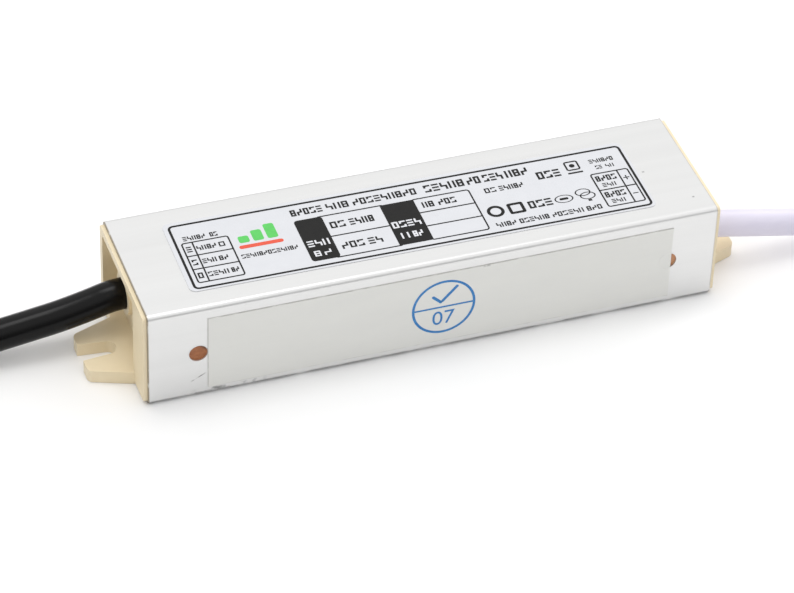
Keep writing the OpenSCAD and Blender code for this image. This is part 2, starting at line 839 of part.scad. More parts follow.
module safety_capacitor() {
    color("deepskyblue") {
        translate([safety_cap_at.x, safety_cap_at.y, board_top + lead_stand + safety_cap_d / 2])
            rotate([0, 0, 90])
                disc_body(safety_cap_d, safety_cap_t);
        pins(safety_cap_at, SAFETY_CAP_PINS, board_top + lead_stand + safety_cap_d / 2);
    }
}

module optical_coupler() {
    color("whitesmoke") {
        translate([coupler_at.x, coupler_at.y, board_top + lead_stand])
            linear_extrude(coupler_h)
                square([coupler_l, coupler_w], center = true);
        pins(coupler_at, COUPLER_PINS, board_top + lead_stand);
    }
}

// Output diode on end, with its upper lead bent back to the board
module output_diode() {
    top = board_top + lead_stand + diode_l + lead_stand;
    color("black") {
        translate([diode_at.x, diode_at.y, board_top + lead_stand])
            cylinder(h = diode_l, d = diode_d);
        pins(diode_at, [DIODE_PINS[0]], top);
        pins(diode_at, [DIODE_PINS[1]], top);
        rod([diode_at.x, diode_at.y, top], [diode_at.x, diode_at.y - diode_loop, top], pin_d, $fn = 24);
        for (p = DIODE_PINS)
            translate([diode_at.x + p.x, diode_at.y + p.y, top])
                sphere(d = pin_d, $fn = 24);
    }
}

module output_capacitors() {
    color("midnightblue") {
        for (side = [-1, 1])
            translate([row_x(7), side * out_cap_y, board_top])
                can(out_cap_d, room);
        pins([row_x(7), 0], OUT_CAP_PINS, board_top);
    }
}

// Drum core coil: two flanges with the winding between them
module output_coil() {
    flange = coil_h / 6;
    dip = coil_d / 12;
    color("darkslategray") {
        translate([coil_at.x, coil_at.y, board_top])
            rotate_extrude()
                polygon([
                    [0, 0], [coil_d / 2, 0], [coil_d / 2, flange], [coil_d / 2 - dip, flange],
                    [coil_d / 2 - dip, coil_h - flange], [coil_d / 2, coil_h - flange], [coil_d / 2, coil_h],
                    [0, coil_h]
                ]);
        pins(coil_at, CAN_PINS, board_top);
    }
}

// One core inside the resin, from the sheath's end to its pad and through the board
module core_tail(side, turn, pad) {
    x = side * (end_x - sheath_x);
    y = -side * lead_y;
    start = [x, y + core_pitch_r * cos(turn), lead_z + core_pitch_r * sin(turn)];
    difference() {
        rod(start, [pad.x, pad.y, board_top], core_d, $fn = 24);
        box_at([-board_l / 2 - over, -tube_w / 2, board_top - tube_h], [board_l + 2 * over, tube_w, tube_h]);
        translate([x + side * tube_h / 2, y, lead_z])
            cube(tube_h, center = true);
    }
    pins([0, 0], [pad], board_top + core_d / 4);
}

module input_live_tail() {
    color("brown")
        core_tail(-1, 270, input_pads[1]);
}

module input_neutral_tail() {
    color("blue")
        core_tail(-1, 150, input_pads[0]);
}

module input_earth_tail() {
    color("yellowgreen")
        core_tail(-1, 30, input_pads[2]);
}

module output_plus_tail() {
    color("brown")
        core_tail(1, 0, output_pads[1]);
}

module output_minus_tail() {
    color("blue")
        core_tail(1, 180, output_pads[0]);
}

// Free leads outside, their stripped cores and the tinned ends
module input_cord() {
    color("black")
        at_input_end()
            swept(INPUT_ROUTE, input_d, cord_sides);
}

module output_cord() {
    color("lavender")
        at_output_end()
            swept(OUTPUT_ROUTE, output_d, cord_sides);
}

module input_live_end() {
    color("brown")
        at_input_end()
            swept(LIVE_ROUTE, core_d, core_sides);
}

module input_neutral_end() {
    color("blue")
        at_input_end()
            swept(NEUTRAL_ROUTE, core_d, core_sides);
}

module input_earth_end() {
    color("yellowgreen")
        at_input_end()
            swept(EARTH_ROUTE, core_d, core_sides);
}

module output_plus_end() {
    color("brown")
        at_output_end()
            swept(PLUS_ROUTE, core_d, core_sides);
}

module output_minus_end() {
    color("blue")
        at_output_end()
            swept(MINUS_ROUTE, core_d, core_sides);
}

// Tinned strands at the end of each core
module tinned_tips(routes) {
    for (r = routes)
        rod(last(r), last(r) + [tip_l, 0, 0], tip_d, $fn = 24);
}

module input_core_tips() {
    color("silver")
        at_input_end()
            tinned_tips([LIVE_ROUTE, NEUTRAL_ROUTE, EARTH_ROUTE]);
}

module output_core_tips() {
    color("silver")
        at_output_end()
            tinned_tips([PLUS_ROUTE, MINUS_ROUTE]);
}

housing();
input_end_cap();
output_end_cap();
rating_label();
side_film();
potting_resin();
insulation_sleeve();
circuit_board();
fuse();
surge_suppressor();
box_film_capacitor();
bridge_rectifier();
choke_base();
choke_core();
choke_windings();
storage_capacitor();
transformer_bobbin();
transformer_winding();
transformer_core();
controller_chip();
switching_transistor();
surface_parts();
safety_capacitor();
optical_coupler();
output_diode();
output_capacitors();
output_coil();
input_live_tail();
input_neutral_tail();
input_earth_tail();
output_plus_tail();
output_minus_tail();
input_cord();
output_cord();
input_live_end();
input_neutral_end();
input_earth_end();
output_plus_end();
output_minus_end();
input_core_tips();
output_core_tips();
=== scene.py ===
"""Looks of a potted LED driver: an aluminium tube, two moulded end caps, printed films and two leads."""

import itertools
import json
import logging
import math
from dataclasses import dataclass, field
from enum import Enum
from typing import Sequence

import bmesh
import bpy
from mathutils import Matrix, Vector


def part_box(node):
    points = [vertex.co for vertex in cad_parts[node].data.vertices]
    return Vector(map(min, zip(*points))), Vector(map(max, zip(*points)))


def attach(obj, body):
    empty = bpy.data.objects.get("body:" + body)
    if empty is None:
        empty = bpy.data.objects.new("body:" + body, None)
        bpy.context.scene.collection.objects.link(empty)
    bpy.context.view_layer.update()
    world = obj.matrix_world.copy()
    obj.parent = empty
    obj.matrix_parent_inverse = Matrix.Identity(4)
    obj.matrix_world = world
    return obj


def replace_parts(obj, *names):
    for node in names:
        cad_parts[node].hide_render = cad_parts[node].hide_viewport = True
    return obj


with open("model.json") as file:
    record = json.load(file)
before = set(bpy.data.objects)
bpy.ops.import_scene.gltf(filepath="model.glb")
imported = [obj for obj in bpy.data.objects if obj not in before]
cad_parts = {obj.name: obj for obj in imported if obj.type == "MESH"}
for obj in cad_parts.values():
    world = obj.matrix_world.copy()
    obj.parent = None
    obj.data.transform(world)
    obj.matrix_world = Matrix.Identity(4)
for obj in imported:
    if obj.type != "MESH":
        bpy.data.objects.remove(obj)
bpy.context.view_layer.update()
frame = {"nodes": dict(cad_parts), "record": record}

MM = 0.001
# Points this close are merged, in millimetres
MERGE_GAP = 0.0005
# Places this close count as one, in millimetres
NEAR = 0.001
BODY = "root"
log = logging.getLogger("driver")

Triple = tuple[float, float, float]
Pair = tuple[float, float]
Socket = bpy.types.NodeSocket


class End(Enum):
    """The two ends of the tube, with the half turns that bring the input end's drawing there."""

    INPUT = 0
    OUTPUT = 1


class Effect(Enum):
    """Shared shader effects."""

    GRAIN = "grain"
    SPECKS = "specks"
    MARK = "mark"


class Glyph(Enum):
    """Plain shapes that stand in for print, by the bars that make them."""

    RAILS = ("top", "middle", "bottom")
    STEP_DOWN = ("upper_left", "middle", "lower_right")
    POSTS = ("left", "right")
    SHELVES = ("left", "right", "top", "middle", "bottom")
    STEP_UP = ("lower_left", "middle", "upper_right")
    FRAME = ("left", "right", "top", "bottom")
    CORNERS = ("upper_left", "top", "bottom", "lower_right")


class Ink(Enum):
    """Printing inks."""

    BLACK = "black"
    WHITE = "white"
    RED = "red"
    GREEN = "green"
    BLUE = "blue"


def metres(point: Sequence[float]) -> Vector:
    """Turns a point in millimetres into one in metres."""
    return Vector(point) * MM


class NodeSheet:
    """Adds nodes to one node tree and joins them."""

    def __init__(self, tree: bpy.types.NodeTree) -> None:
        """Starts on a cleared tree.

        Args:
            tree: the material's or group's node tree.
        """
        self.tree = tree
        tree.nodes.clear()

    def add(
        self, kind: str, settings: dict | None = None, sockets: dict | None = None
    ) -> bpy.types.Node:
        """Adds one node.

        Args:
            kind: the node's type.
            settings: properties of the node.
            sockets: inputs by name or index, each a value or another node's output.

        Returns:
            The new node.
        """
        node = self.tree.nodes.new(kind)
        for name, value in (settings or {}).items():
            setattr(node, name, value)
        for name, value in (sockets or {}).items():
            self.put(node.inputs[name], value)
        return node

    def put(self, socket: Socket, value: object) -> None:
        """Links an output to a socket, or sets the socket's own value.

        Args:
            socket: the input.
            value: another node's output, or a constant.
        """
        if isinstance(value, Socket):
            self.tree.links.new(value, socket)
        else:
            socket.default_value = value

    def math(self, operation: str, a: object, b: object = 0.0, clamp: bool = False) -> Socket:
        """Works out one number from two.

        Args:
            operation: the Math node's operation.
            a: first value or output.
            b: second value or output.
            clamp: whether the result is held between 0 and 1.

        Returns:
            The result's socket.
        """
        node = self.add("ShaderNodeMath", {"operation": operation, "use_clamp": clamp}, {0: a, 1: b})
        return node.outputs[0]

    def mix(self, factor: object, a: object, b: object) -> Socket:
        """Mixes two colours.

        Args:
            factor: share of the second colour.
            a: first colour or output.
            b: second colour or output.

        Returns:
            The mixed colour's socket.
        """
        node = self.add("ShaderNodeMix", {"data_type": "RGBA"}, {0: factor, 6: a, 7: b})
        return node.outputs[2]

    def spread(
        self, value: Socket, low: float, high: float, start: float = 0.0, stop: float = 1.0
    ) -> Socket:
        """Maps one range of a value onto another.

        Args:
            value: the value's socket.
            low: result at the start.
            high: result at the stop.
            start: where the value's range starts.
            stop: where it ends.

        Returns:
            The result's socket.
        """
        ranges = {"From Min": start, "From Max": stop, "To Min": low, "To Max": high}
        return self.add("ShaderNodeMapRange", None, {"Value": value, **ranges}).outputs["Result"]

    def along(self, place: Socket, direction: Triple) -> Socket:
        """Measures how far a place lies along a direction.

        Args:
            place: the place's socket.
            direction: the direction's vector.

        Returns:
            The result's socket.
        """
        node = self.add("ShaderNodeVectorMath", {"operation": "DOT_PRODUCT"}, {0: place, 1: direction})
        return node.outputs["Value"]

    def effect(self, effect: Effect, sockets: dict) -> Socket:
        """Places a shared effect with its own values.

        Args:
            effect: which effect.
            sockets: the group's inputs.

        Returns:
            The group's only output.
        """
        return self.add("ShaderNodeGroup", {"node_tree": EffectGroups.get(effect)}, sockets).outputs[0]


class EffectGroups:
    """Builds each shared effect once, as a shader node group."""

    NUMBER = "NodeSocketFloat"
    VECTOR = "NodeSocketVector"
    GRAIN_DETAIL = 5.0
    GRAIN_ROUGHNESS = 0.6
    SPECK_REACH = 0.3
    MARK_CORE = 0.45
    MARK_CONTRAST = 6.0

    @classmethod
    def get(cls, effect: Effect) -> bpy.types.NodeTree:
        """Finds or builds a group.

        Args:
            effect: which effect.

        Returns:
            The group's node tree.
        """
        made = bpy.data.node_groups.get(effect.value)
        if made is None:
            made = bpy.data.node_groups.new(effect.value, "ShaderNodeTree")
            draw = {Effect.GRAIN: cls.grain, Effect.SPECKS: cls.specks, Effect.MARK: cls.mark}[effect]
            draw(made)
        return made

    @classmethod
    def start(
        cls, tree: bpy.types.NodeTree, inputs: dict[str, str], output: str
    ) -> tuple[NodeSheet, bpy.types.Node, Socket]:
        """Gives a group its named sockets and its first nodes.

        Args:
            tree: the empty group.
            inputs: the name and kind of each input.
            output: the name of the output, a number.

        Returns:
            The group's nodes, the node of its inputs and the place on the piece.
        """
        for name, kind in inputs.items():
            tree.interface.new_socket(name=name, in_out="INPUT", socket_type=kind)
        tree.interface.new_socket(name=output, in_out="OUTPUT", socket_type=cls.NUMBER)
        sheet = NodeSheet(tree)
        given = sheet.add("NodeGroupInput")
        return sheet, given, sheet.add("ShaderNodeTexCoord").outputs["Object"]

    @classmethod
    def grain(cls, tree: bpy.types.NodeTree) -> None:
        """Draws a soft uneven tone that can be stretched along an axis.

        Args:
            tree: the empty group.
        """
        inputs = {"Scale": cls.NUMBER, "Stretch": cls.VECTOR, "Contrast": cls.NUMBER}
        sheet, given, place = cls.start(tree, inputs, "Value")
        drawn = sheet.add(
            "ShaderNodeMapping", None, {"Vector": place, "Scale": given.outputs["Stretch"]}
        )
        noise = sheet.add(
            "ShaderNodeTexNoise",
            None,
            {
                "Vector": drawn.outputs[0],
                "Scale": given.outputs["Scale"],
                "Detail": cls.GRAIN_DETAIL,
                "Roughness": cls.GRAIN_ROUGHNESS,
            },
        )
        centred = sheet.math("SUBTRACT", noise.outputs[0], 0.5)
        scaled = sheet.math("MULTIPLY", centred, given.outputs["Contrast"])
        value = sheet.math("ADD", scaled, 0.5, clamp=True)
        sheet.add("NodeGroupOutput", None, {"Value": value})

    @classmethod
    def specks(cls, tree: bpy.types.NodeTree) -> None:
        """Scatters small dots of uneven size.

        Args:
            tree: the empty group.
        """
        sheet, given, place = cls.start(tree, {"Scale": cls.NUMBER, "Share": cls.NUMBER}, "Mask")
        cells = sheet.add(
            "ShaderNodeTexVoronoi", None, {"Vector": place, "Scale": given.outputs["Scale"]}
        )
        chance = sheet.add("ShaderNodeSeparateColor", None, {0: cells.outputs["Color"]})
        drawn = sheet.math("LESS_THAN", chance.outputs[0], given.outputs["Share"])
        reach = sheet.math("MULTIPLY", chance.outputs[1], cls.SPECK_REACH)
        near = sheet.math("LESS_THAN", cells.outputs["Distance"], reach)
        sheet.add("NodeGroupOutput", None, {"Mask": sheet.math("MULTIPLY", drawn, near)})

    @classmethod
    def mark(cls, tree: bpy.types.NodeTree) -> None:
        """Draws one mark at a set place, with broken edges: a scratch, a scuff, a dark edge line or a
        painted shadow.

        Args:
            tree: the empty group.
        """
        inputs = {name: cls.VECTOR for name in ("Place", "Turn", "Reach")}
        inputs |= {name: cls.NUMBER for name in ("Scale", "Gaps")}
        sheet, given, place = cls.start(tree, inputs, "Mask")
        local = sheet.add(
            "ShaderNodeMapping",
            {"vector_type": "TEXTURE"},
            {
                "Vector": place,
                "Location": given.outputs["Place"],
                "Rotation": given.outputs["Turn"],
                "Scale": given.outputs["Reach"],
            },
        )
        size = sheet.add("ShaderNodeVectorMath", {"operation": "ABSOLUTE"}, {0: local.outputs[0]})
        parts = sheet.add("ShaderNodeSeparateXYZ", None, {0: size.outputs[0]})
        wide = sheet.math("MAXIMUM", parts.outputs[0], parts.outputs[1])
        far = sheet.math("MAXIMUM", wide, parts.outputs[2])
        inside = sheet.spread(far, 0.0, 1.0, start=1.0, stop=cls.MARK_CORE)
        noise = sheet.add("ShaderNodeTexNoise", None, {"Vector": place, "Scale": given.outputs["Scale"]})
        kept = sheet.math("SUBTRACT", noise.outputs[0], given.outputs["Gaps"])
        broken = sheet.math("MULTIPLY", kept, cls.MARK_CONTRAST, clamp=True)
        sheet.add("NodeGroupOutput", None, {"Mask": sheet.math("MULTIPLY", inside, broken)})


@dataclass(frozen=True)
class Mark:
    """One mark at a set place, for wear and for painted shadows alike: a box in millimetres, turned,
    with a colour that shows through it.
    """

    place: Triple
    reach: Triple
    colour: Triple
    strength: float = 0.8
    turn: Triple = (0.0, 0.0, 0.0)
    scale: float = 700.0
    gaps: float = 0.42


@dataclass(frozen=True)
class Finish:
    """One surface finish: two close tones, gloss, relief, wear marks and painted shade."""

    name: str
    light: Triple
    dark: Triple
    rough: Pair
    metallic: float = 0.0
    scale: float = 600.0
    stretch: Triple = (1.0, 1.0, 1.0)
    contrast: float = 2.0
    relief_scale: float = 4000.0
    relief: float = 0.15
    depth: float = 0.00004
    specular: float = 0.5
    speck_share: float = 0.0
    speck_scale: float = 300.0
    speck: Triple = (0.2, 0.2, 0.2)
    marks: tuple[Mark, ...] = ()

    def material(self) -> bpy.types.Material:
        """Builds the finish once.

        Returns:
            The Blender material.
        """
        made = bpy.data.materials.get(self.name)
        if made is not None:
            return made
        made = bpy.data.materials.new(self.name)
        made.use_nodes = True
        sheet = NodeSheet(made.node_tree)
        tone, fine = (
            sheet.effect(
                Effect.GRAIN, {"Scale": scale, "Stretch": self.stretch, "Contrast": self.contrast}
            )
            for scale in (self.scale, self.relief_scale)
        )
        colour = self.flaws_and_shade(sheet, self.pattern(sheet, tone))
        bump = sheet.add(
            "ShaderNodeBump", None, {"Strength": self.relief, "Distance": self.depth, "Height": fine}
        )
        shader = sheet.add(
            "ShaderNodeBsdfPrincipled",
            None,
            {
                "Base Color": colour,
                "Roughness": sheet.spread(tone, *self.rough),
                "Metallic": self.metallic,
                "Specular IOR Level": self.specular,
                "Normal": bump.outputs[0],
            },
        )
        sheet.add("ShaderNodeOutputMaterial", None, {"Surface": shader.outputs[0]})
        return made

    def pattern(self, sheet: NodeSheet, tone: Socket) -> Socket:
        """Draws the finish's own colours.

        Args:
            sheet: the material's nodes.
            tone: uneven value from 0 to 1.

        Returns:
            The colour's socket.
        """
        return sheet.mix(tone, (*self.dark, 1.0), (*self.light, 1.0))

    def flaws_and_shade(self, sheet: NodeSheet, colour: Socket) -> Socket:
        """Lays specks, scratches, scuffs, dark edge lines and painted shadows over the colour.

        Args:
            sheet: the material's nodes.
            colour: the clean colour.

        Returns:
            The colour with its marks and painted shadows.
        """
        if self.speck_share:
            mask = sheet.effect(Effect.SPECKS, {"Scale": self.speck_scale, "Share": self.speck_share})
            colour = sheet.mix(mask, colour, (*self.speck, 1.0))
        for overlay_mark in self.marks:
            mask = sheet.effect(
                Effect.MARK,
                {
                    "Place": metres(overlay_mark.place),
                    "Turn": [math.radians(angle) for angle in overlay_mark.turn],
                    "Reach": metres(overlay_mark.reach),
                    "Scale": overlay_mark.scale,
                    "Gaps": overlay_mark.gaps,
                },
            )
            colour = sheet.mix(sheet.math("MULTIPLY", mask, overlay_mark.strength), colour, (*overlay_mark.colour, 1.0))
        return colour


@dataclass(frozen=True)
class BandedFinish(Finish):
    """A finish with bands of a second colour, for wound wire and striped insulation."""

    band: Triple = (0.0, 0.0, 0.0)
    direction: Triple = (1.0, 0.0, 0.0)
    band_width: float = 0.001
    edge_contrast: float = 4.0

    def pattern(self, sheet: NodeSheet, tone: Socket) -> Socket:
        """Draws bands across a direction.

        Args:
            sheet: the material's nodes.
            tone: uneven value from 0 to 1.

        Returns:
            The colour's socket.
        """
        place = sheet.add("ShaderNodeTexCoord").outputs["Object"]
        along = sheet.along(place, self.direction)
        turns = sheet.math("MULTIPLY", along, math.pi / self.band_width)
        wave = sheet.math("MULTIPLY", sheet.math("SINE", turns), self.edge_contrast)
        stripe = sheet.math("ADD", wave, 0.5, clamp=True)
        return sheet.mix(stripe, super().pattern(sheet, tone), (*self.band, 1.0))


# Dark grey of scuffs, and of the painted contact shade along the tube's bottom front edge
SCUFF_AND_SHADE = (0.12, 0.12, 0.12)
# Dark tone drawn along the side film's top, left and bottom edges
DARK_EDGE_LINE = (0.30, 0.29, 0.27)
# Painted shadow in the gaps where the caps meet the tube
SEAM_SHADOW = (0.22, 0.17, 0.10)
# Painted shadow cast by a hole's rim onto the resin
RIM_SHADOW = (0.06, 0.025, 0.012)
PALE_RESIN = (0.72, 0.36, 0.18)

ALUMINIUM = Finish(
    "anodised_aluminium", (0.785, 0.785, 0.78), (0.735, 0.735, 0.73), (0.27, 0.35), metallic=0.8,
    scale=260.0, stretch=(0.02, 1.0, 1.0), contrast=1.6, relief_scale=2600.0, relief=0.10,
    speck_share=0.006, speck_scale=160.0, speck=(0.45, 0.45, 0.45),
    marks=(
        # Broken dark line along the whole bottom front edge: painted contact shade, with scuffing
        Mark((0.0, -17.0, 0.35), (150.0, 1.2, 0.75), SCUFF_AND_SHADE, 0.5, scale=160.0, gaps=0.34),
        # Painted shadow lines in the gaps at the caps, darker at the input end
        Mark((-63.0, 0.0, 11.75), (0.3, 40.0, 30.0), SEAM_SHADOW, 0.8, scale=300.0, gaps=0.25),
        Mark((63.0, 0.0, 11.75), (0.3, 40.0, 30.0), SEAM_SHADOW, 0.35, scale=300.0, gaps=0.25),
        Mark((-52.2, -17.0, 5.15), (2.0, 1.0, 0.17), SCUFF_AND_SHADE, turn=(0.0, -28.0, 0.0), gaps=0.36),
        Mark((-45.0, -17.0, 1.2), (9.0, 1.2, 0.75), SCUFF_AND_SHADE, 0.75, scale=420.0, gaps=0.47),
        Mark((-52.6, -17.0, 0.9), (3.6, 1.0, 0.3), SCUFF_AND_SHADE, 0.5, scale=500.0, gaps=0.44),
        Mark((59.4, -11.7, 23.5), (0.32, 0.28, 0.5), SCUFF_AND_SHADE, 0.6, gaps=0.1),
        Mark((52.3, -0.6, 23.5), (0.35, 0.28, 0.5), SCUFF_AND_SHADE, 0.5, gaps=0.1),
    ),
)
CAP_PLASTIC = Finish(
    "cream_cap_plastic", (0.86, 0.745, 0.53), (0.81, 0.69, 0.47), (0.38, 0.50),
    scale=180.0, contrast=1.8, relief_scale=3600.0, relief=0.16,
    speck_share=0.02, speck_scale=260.0, speck=(0.42, 0.31, 0.18),
)
LABEL_FILM = Finish(
    "silvery_label_film", (0.69, 0.70, 0.73), (0.65, 0.66, 0.69), (0.30, 0.38), metallic=0.15,
    scale=300.0, contrast=1.5, relief_scale=2400.0, relief=0.05,
)
SIDE_FILM = Finish(
    "matt_side_film", (0.76, 0.76, 0.73), (0.72, 0.72, 0.695), (0.46, 0.54), metallic=0.30,
    scale=220.0, stretch=(0.3, 1.0, 1.0), contrast=1.6, relief_scale=2800.0, relief=0.08,
    marks=(
        # Dark lines along the film's top, left and bottom edges
        Mark((1.4, -17.1, 20.42), (140.0, 0.5, 0.15), DARK_EDGE_LINE, 0.45, scale=300.0, gaps=0.30),
        Mark((-50.1, -17.1, 11.25), (0.15, 0.5, 24.0), DARK_EDGE_LINE, 0.45, scale=300.0, gaps=0.30),
        Mark((1.4, -17.1, 2.05), (140.0, 0.5, 0.12), DARK_EDGE_LINE, 0.3, scale=300.0, gaps=0.42),
        Mark((10.8, -17.1, 20.3), (0.9, 0.5, 0.4), SCUFF_AND_SHADE, 0.5, gaps=0.3),
    ),
)
RESIN = Finish(
    "cured_brown_resin", (0.44, 0.165, 0.058), (0.28, 0.088, 0.030), (0.28, 0.42),
    scale=900.0, contrast=2.4, relief_scale=1500.0, relief=0.25, specular=0.4,
    speck_share=0.25, speck_scale=2200.0, speck=(0.66, 0.34, 0.17),
    marks=(
        # Painted shadow of the rim at the upper right of the input-side hole
        Mark((-50.9, -16.8, 13.1), (1.5, 1.0, 0.8), RIM_SHADOW, 0.7, turn=(0.0, 42.0, 0.0), gaps=0.2),
        Mark((53.6, -16.8, 11.6), (1.6, 1.0, 2.2), PALE_RESIN, 0.7, gaps=0.1),
    ),
)
BLACK_SHEATH = Finish(
    "black_lead_sheath", (0.002, 0.002, 0.0022), (0.001, 0.001, 0.0012), (0.20, 0.28),
    scale=500.0, stretch=(0.3, 1.0, 1.0), relief_scale=2200.0, relief=0.10, specular=0.2,
)
WHITE_SHEATH = Finish(
    "white_lead_sheath", (0.75, 0.72, 0.84), (0.70, 0.67, 0.80), (0.32, 0.42),
    scale=400.0, stretch=(0.3, 1.0, 1.0), relief_scale=2200.0, relief=0.08,
)
FLOOR = Finish(
    "pale_floor", (0.94, 0.94, 0.94), (0.925, 0.925, 0.925), (0.7, 0.8),
    scale=3.0, relief=0.0, specular=0.1,
)


def moulding(name: str, colour: Triple, gloss: Pair = (0.35, 0.5)) -> Finish:
    """Plain moulded, dipped or sleeved component finish.

    Args:
        name: the material's name.
        colour: its lighter tone.
        gloss: lowest and highest roughness.

    Returns:
        The finish.
    """
    shade = 0.7
    dark = tuple(shade * part for part in colour)
    return Finish(name, colour, dark, gloss, scale=700.0, relief_scale=3000.0, relief=0.12)


SLOT_FINISHES: dict[str, Finish] = {
    "aluminium": ALUMINIUM,
    "cap_plastic": CAP_PLASTIC,
    "label_film": LABEL_FILM,
    "side_film": SIDE_FILM,
    "resin": RESIN,
    "sleeve_film": moulding("insulating_film", (0.80, 0.77, 0.66), (0.2, 0.3)),
    "board": moulding("green_board", (0.03, 0.17, 0.06), (0.3, 0.4)),
    "black_moulding": moulding("black_moulded_plastic", (0.03, 0.03, 0.03)),
    "white_moulding": moulding("white_moulded_plastic", (0.75, 0.75, 0.72)),
    "blue_coating": moulding("blue_dipped_coating", (0.03, 0.10, 0.42), (0.2, 0.3)),
    "yellow_case": BandedFinish(
        "yellow_taped_case", (0.78, 0.55, 0.06), (0.66, 0.44, 0.05), (0.25, 0.35),
        band=(0.60, 0.40, 0.05), direction=(0.0, 0.0, 1.0), band_width=0.0022,
    ),
    "ferrite": moulding("sintered_ferrite", (0.06, 0.06, 0.065), (0.5, 0.65)),
    "copper_wire": BandedFinish(
        "enamelled_copper", (0.62, 0.26, 0.10), (0.45, 0.18, 0.07), (0.25, 0.35), metallic=0.9,
        band=(0.20, 0.07, 0.03), direction=(0.3, 1.0, 1.0), band_width=0.0004,
    ),
    "can_sleeve": moulding("capacitor_sleeve", (0.02, 0.03, 0.13), (0.2, 0.3)),
    "chip_parts": moulding("ceramic_chips", (0.23, 0.15, 0.09), (0.4, 0.5)),
    "brown_core": moulding("brown_core_insulation", (0.14, 0.045, 0.02), (0.3, 0.4)),
    "blue_core": moulding("blue_core_insulation", (0.02, 0.08, 0.50), (0.3, 0.4)),
    "earth_core": BandedFinish(
        "striped_earth_core", (0.62, 0.62, 0.04), (0.55, 0.54, 0.03), (0.3, 0.4),
        band=(0.03, 0.25, 0.05), direction=(0.35, 1.0, 1.0), band_width=0.0011,
    ),
    "black_sheath": BLACK_SHEATH,
    "white_sheath": WHITE_SHEATH,
    "tinned_wire": Finish(
        "tinned_strands", (0.78, 0.78, 0.76), (0.60, 0.60, 0.58), (0.25, 0.4), metallic=0.9, scale=1500.0
    ),
}

INK_FINISHES: dict[Ink, Finish] = {
    Ink.BLACK: Finish(
        "black_ink", (0.016, 0.0155, 0.015), (0.010, 0.010, 0.0095), (0.35, 0.5),
        scale=900.0, specular=0.15,
    ),
    Ink.WHITE: Finish("white_ink", (0.74, 0.75, 0.78), (0.69, 0.70, 0.73), (0.35, 0.5), scale=900.0),
    Ink.RED: Finish("red_ink", (0.78, 0.09, 0.04), (0.68, 0.07, 0.03), (0.35, 0.5), scale=900.0),
    Ink.GREEN: Finish("green_ink", (0.10, 0.60, 0.11), (0.08, 0.50, 0.09), (0.35, 0.5), scale=900.0),
    Ink.BLUE: Finish(
        "blue_stamp_ink", (0.015, 0.16, 0.46), (0.03, 0.23, 0.55), (0.4, 0.55),
        scale=1400.0, contrast=3.0,
    ),
}


class PieceMaker:
    """Turns finished meshes into named pieces that ride on the part."""

    @staticmethod
    def from_bmesh(
        name: str, bm: bmesh.types.BMesh, finish: Finish, slot: str, angle: float = 32.0
    ) -> bpy.types.Object:
        """Makes a mesh piece, smooth apart from its sharp edges.

        Args:
            name: the piece's name.
            bm: its geometry in metres, freed here.
            finish: its finish.
            slot: the record's material slot.
            angle: edges sharper than this many degrees stay sharp.

        Returns:
            The new object.
        """
        limit = math.radians(angle)
        for face in bm.faces:
            face.smooth = True
        for edge in bm.edges:
            edge.smooth = edge.calc_face_angle(0.0) < limit
        mesh = bpy.data.meshes.new(name)
        bm.to_mesh(mesh)
        bm.free()
        made = bpy.data.objects.new(name, mesh)
        return PieceMaker.register(made, finish, slot)

    @staticmethod
    def register(made: bpy.types.Object, finish: Finish, slot: str) -> bpy.types.Object:
        """Links a piece, dresses it and lets it ride on the part.

        Args:
            made: the new object.
            finish: its finish.
            slot: the record's material slot; not used.

        Returns:
            The same object.
        """
        bpy.context.scene.collection.objects.link(made)
        made.data.materials.append(finish.material())
        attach(made, BODY)
        log.info("piece %s with finish %s", made.name, finish.name)
        return made

    @staticmethod
    def flat_normals(made: bpy.types.Object) -> None:
        """Keeps large flat faces flat beside their rounded edges."""
        weighted = made.modifiers.new("flat_faces", "WEIGHTED_NORMAL")
        weighted.keep_sharp = True


def round_rectangle(
    bm: bmesh.types.BMesh, place: Matrix, radius: float, steps: int
) -> bmesh.types.BMFace:
    """Draws one rectangle with round corners.

    Args:
        bm: the geometry that it joins.
        place: from a square with sides of 1 about the origin to the rectangle.
        radius: its corner radius, or 0.
        steps: segments in each corner.

    Returns:
        The rectangle's face.
    """
    before = set(bm.faces)
    corners = bmesh.ops.create_grid(bm, x_segments=1, y_segments=1, size=0.5, matrix=place)["verts"]
    if radius:
        bmesh.ops.bevel(
            bm, geom=corners, offset=radius, offset_type="OFFSET", segments=steps, profile=0.5,
            affect="VERTICES", material=-1,
        )
    return next(face for face in bm.faces if face not in before)


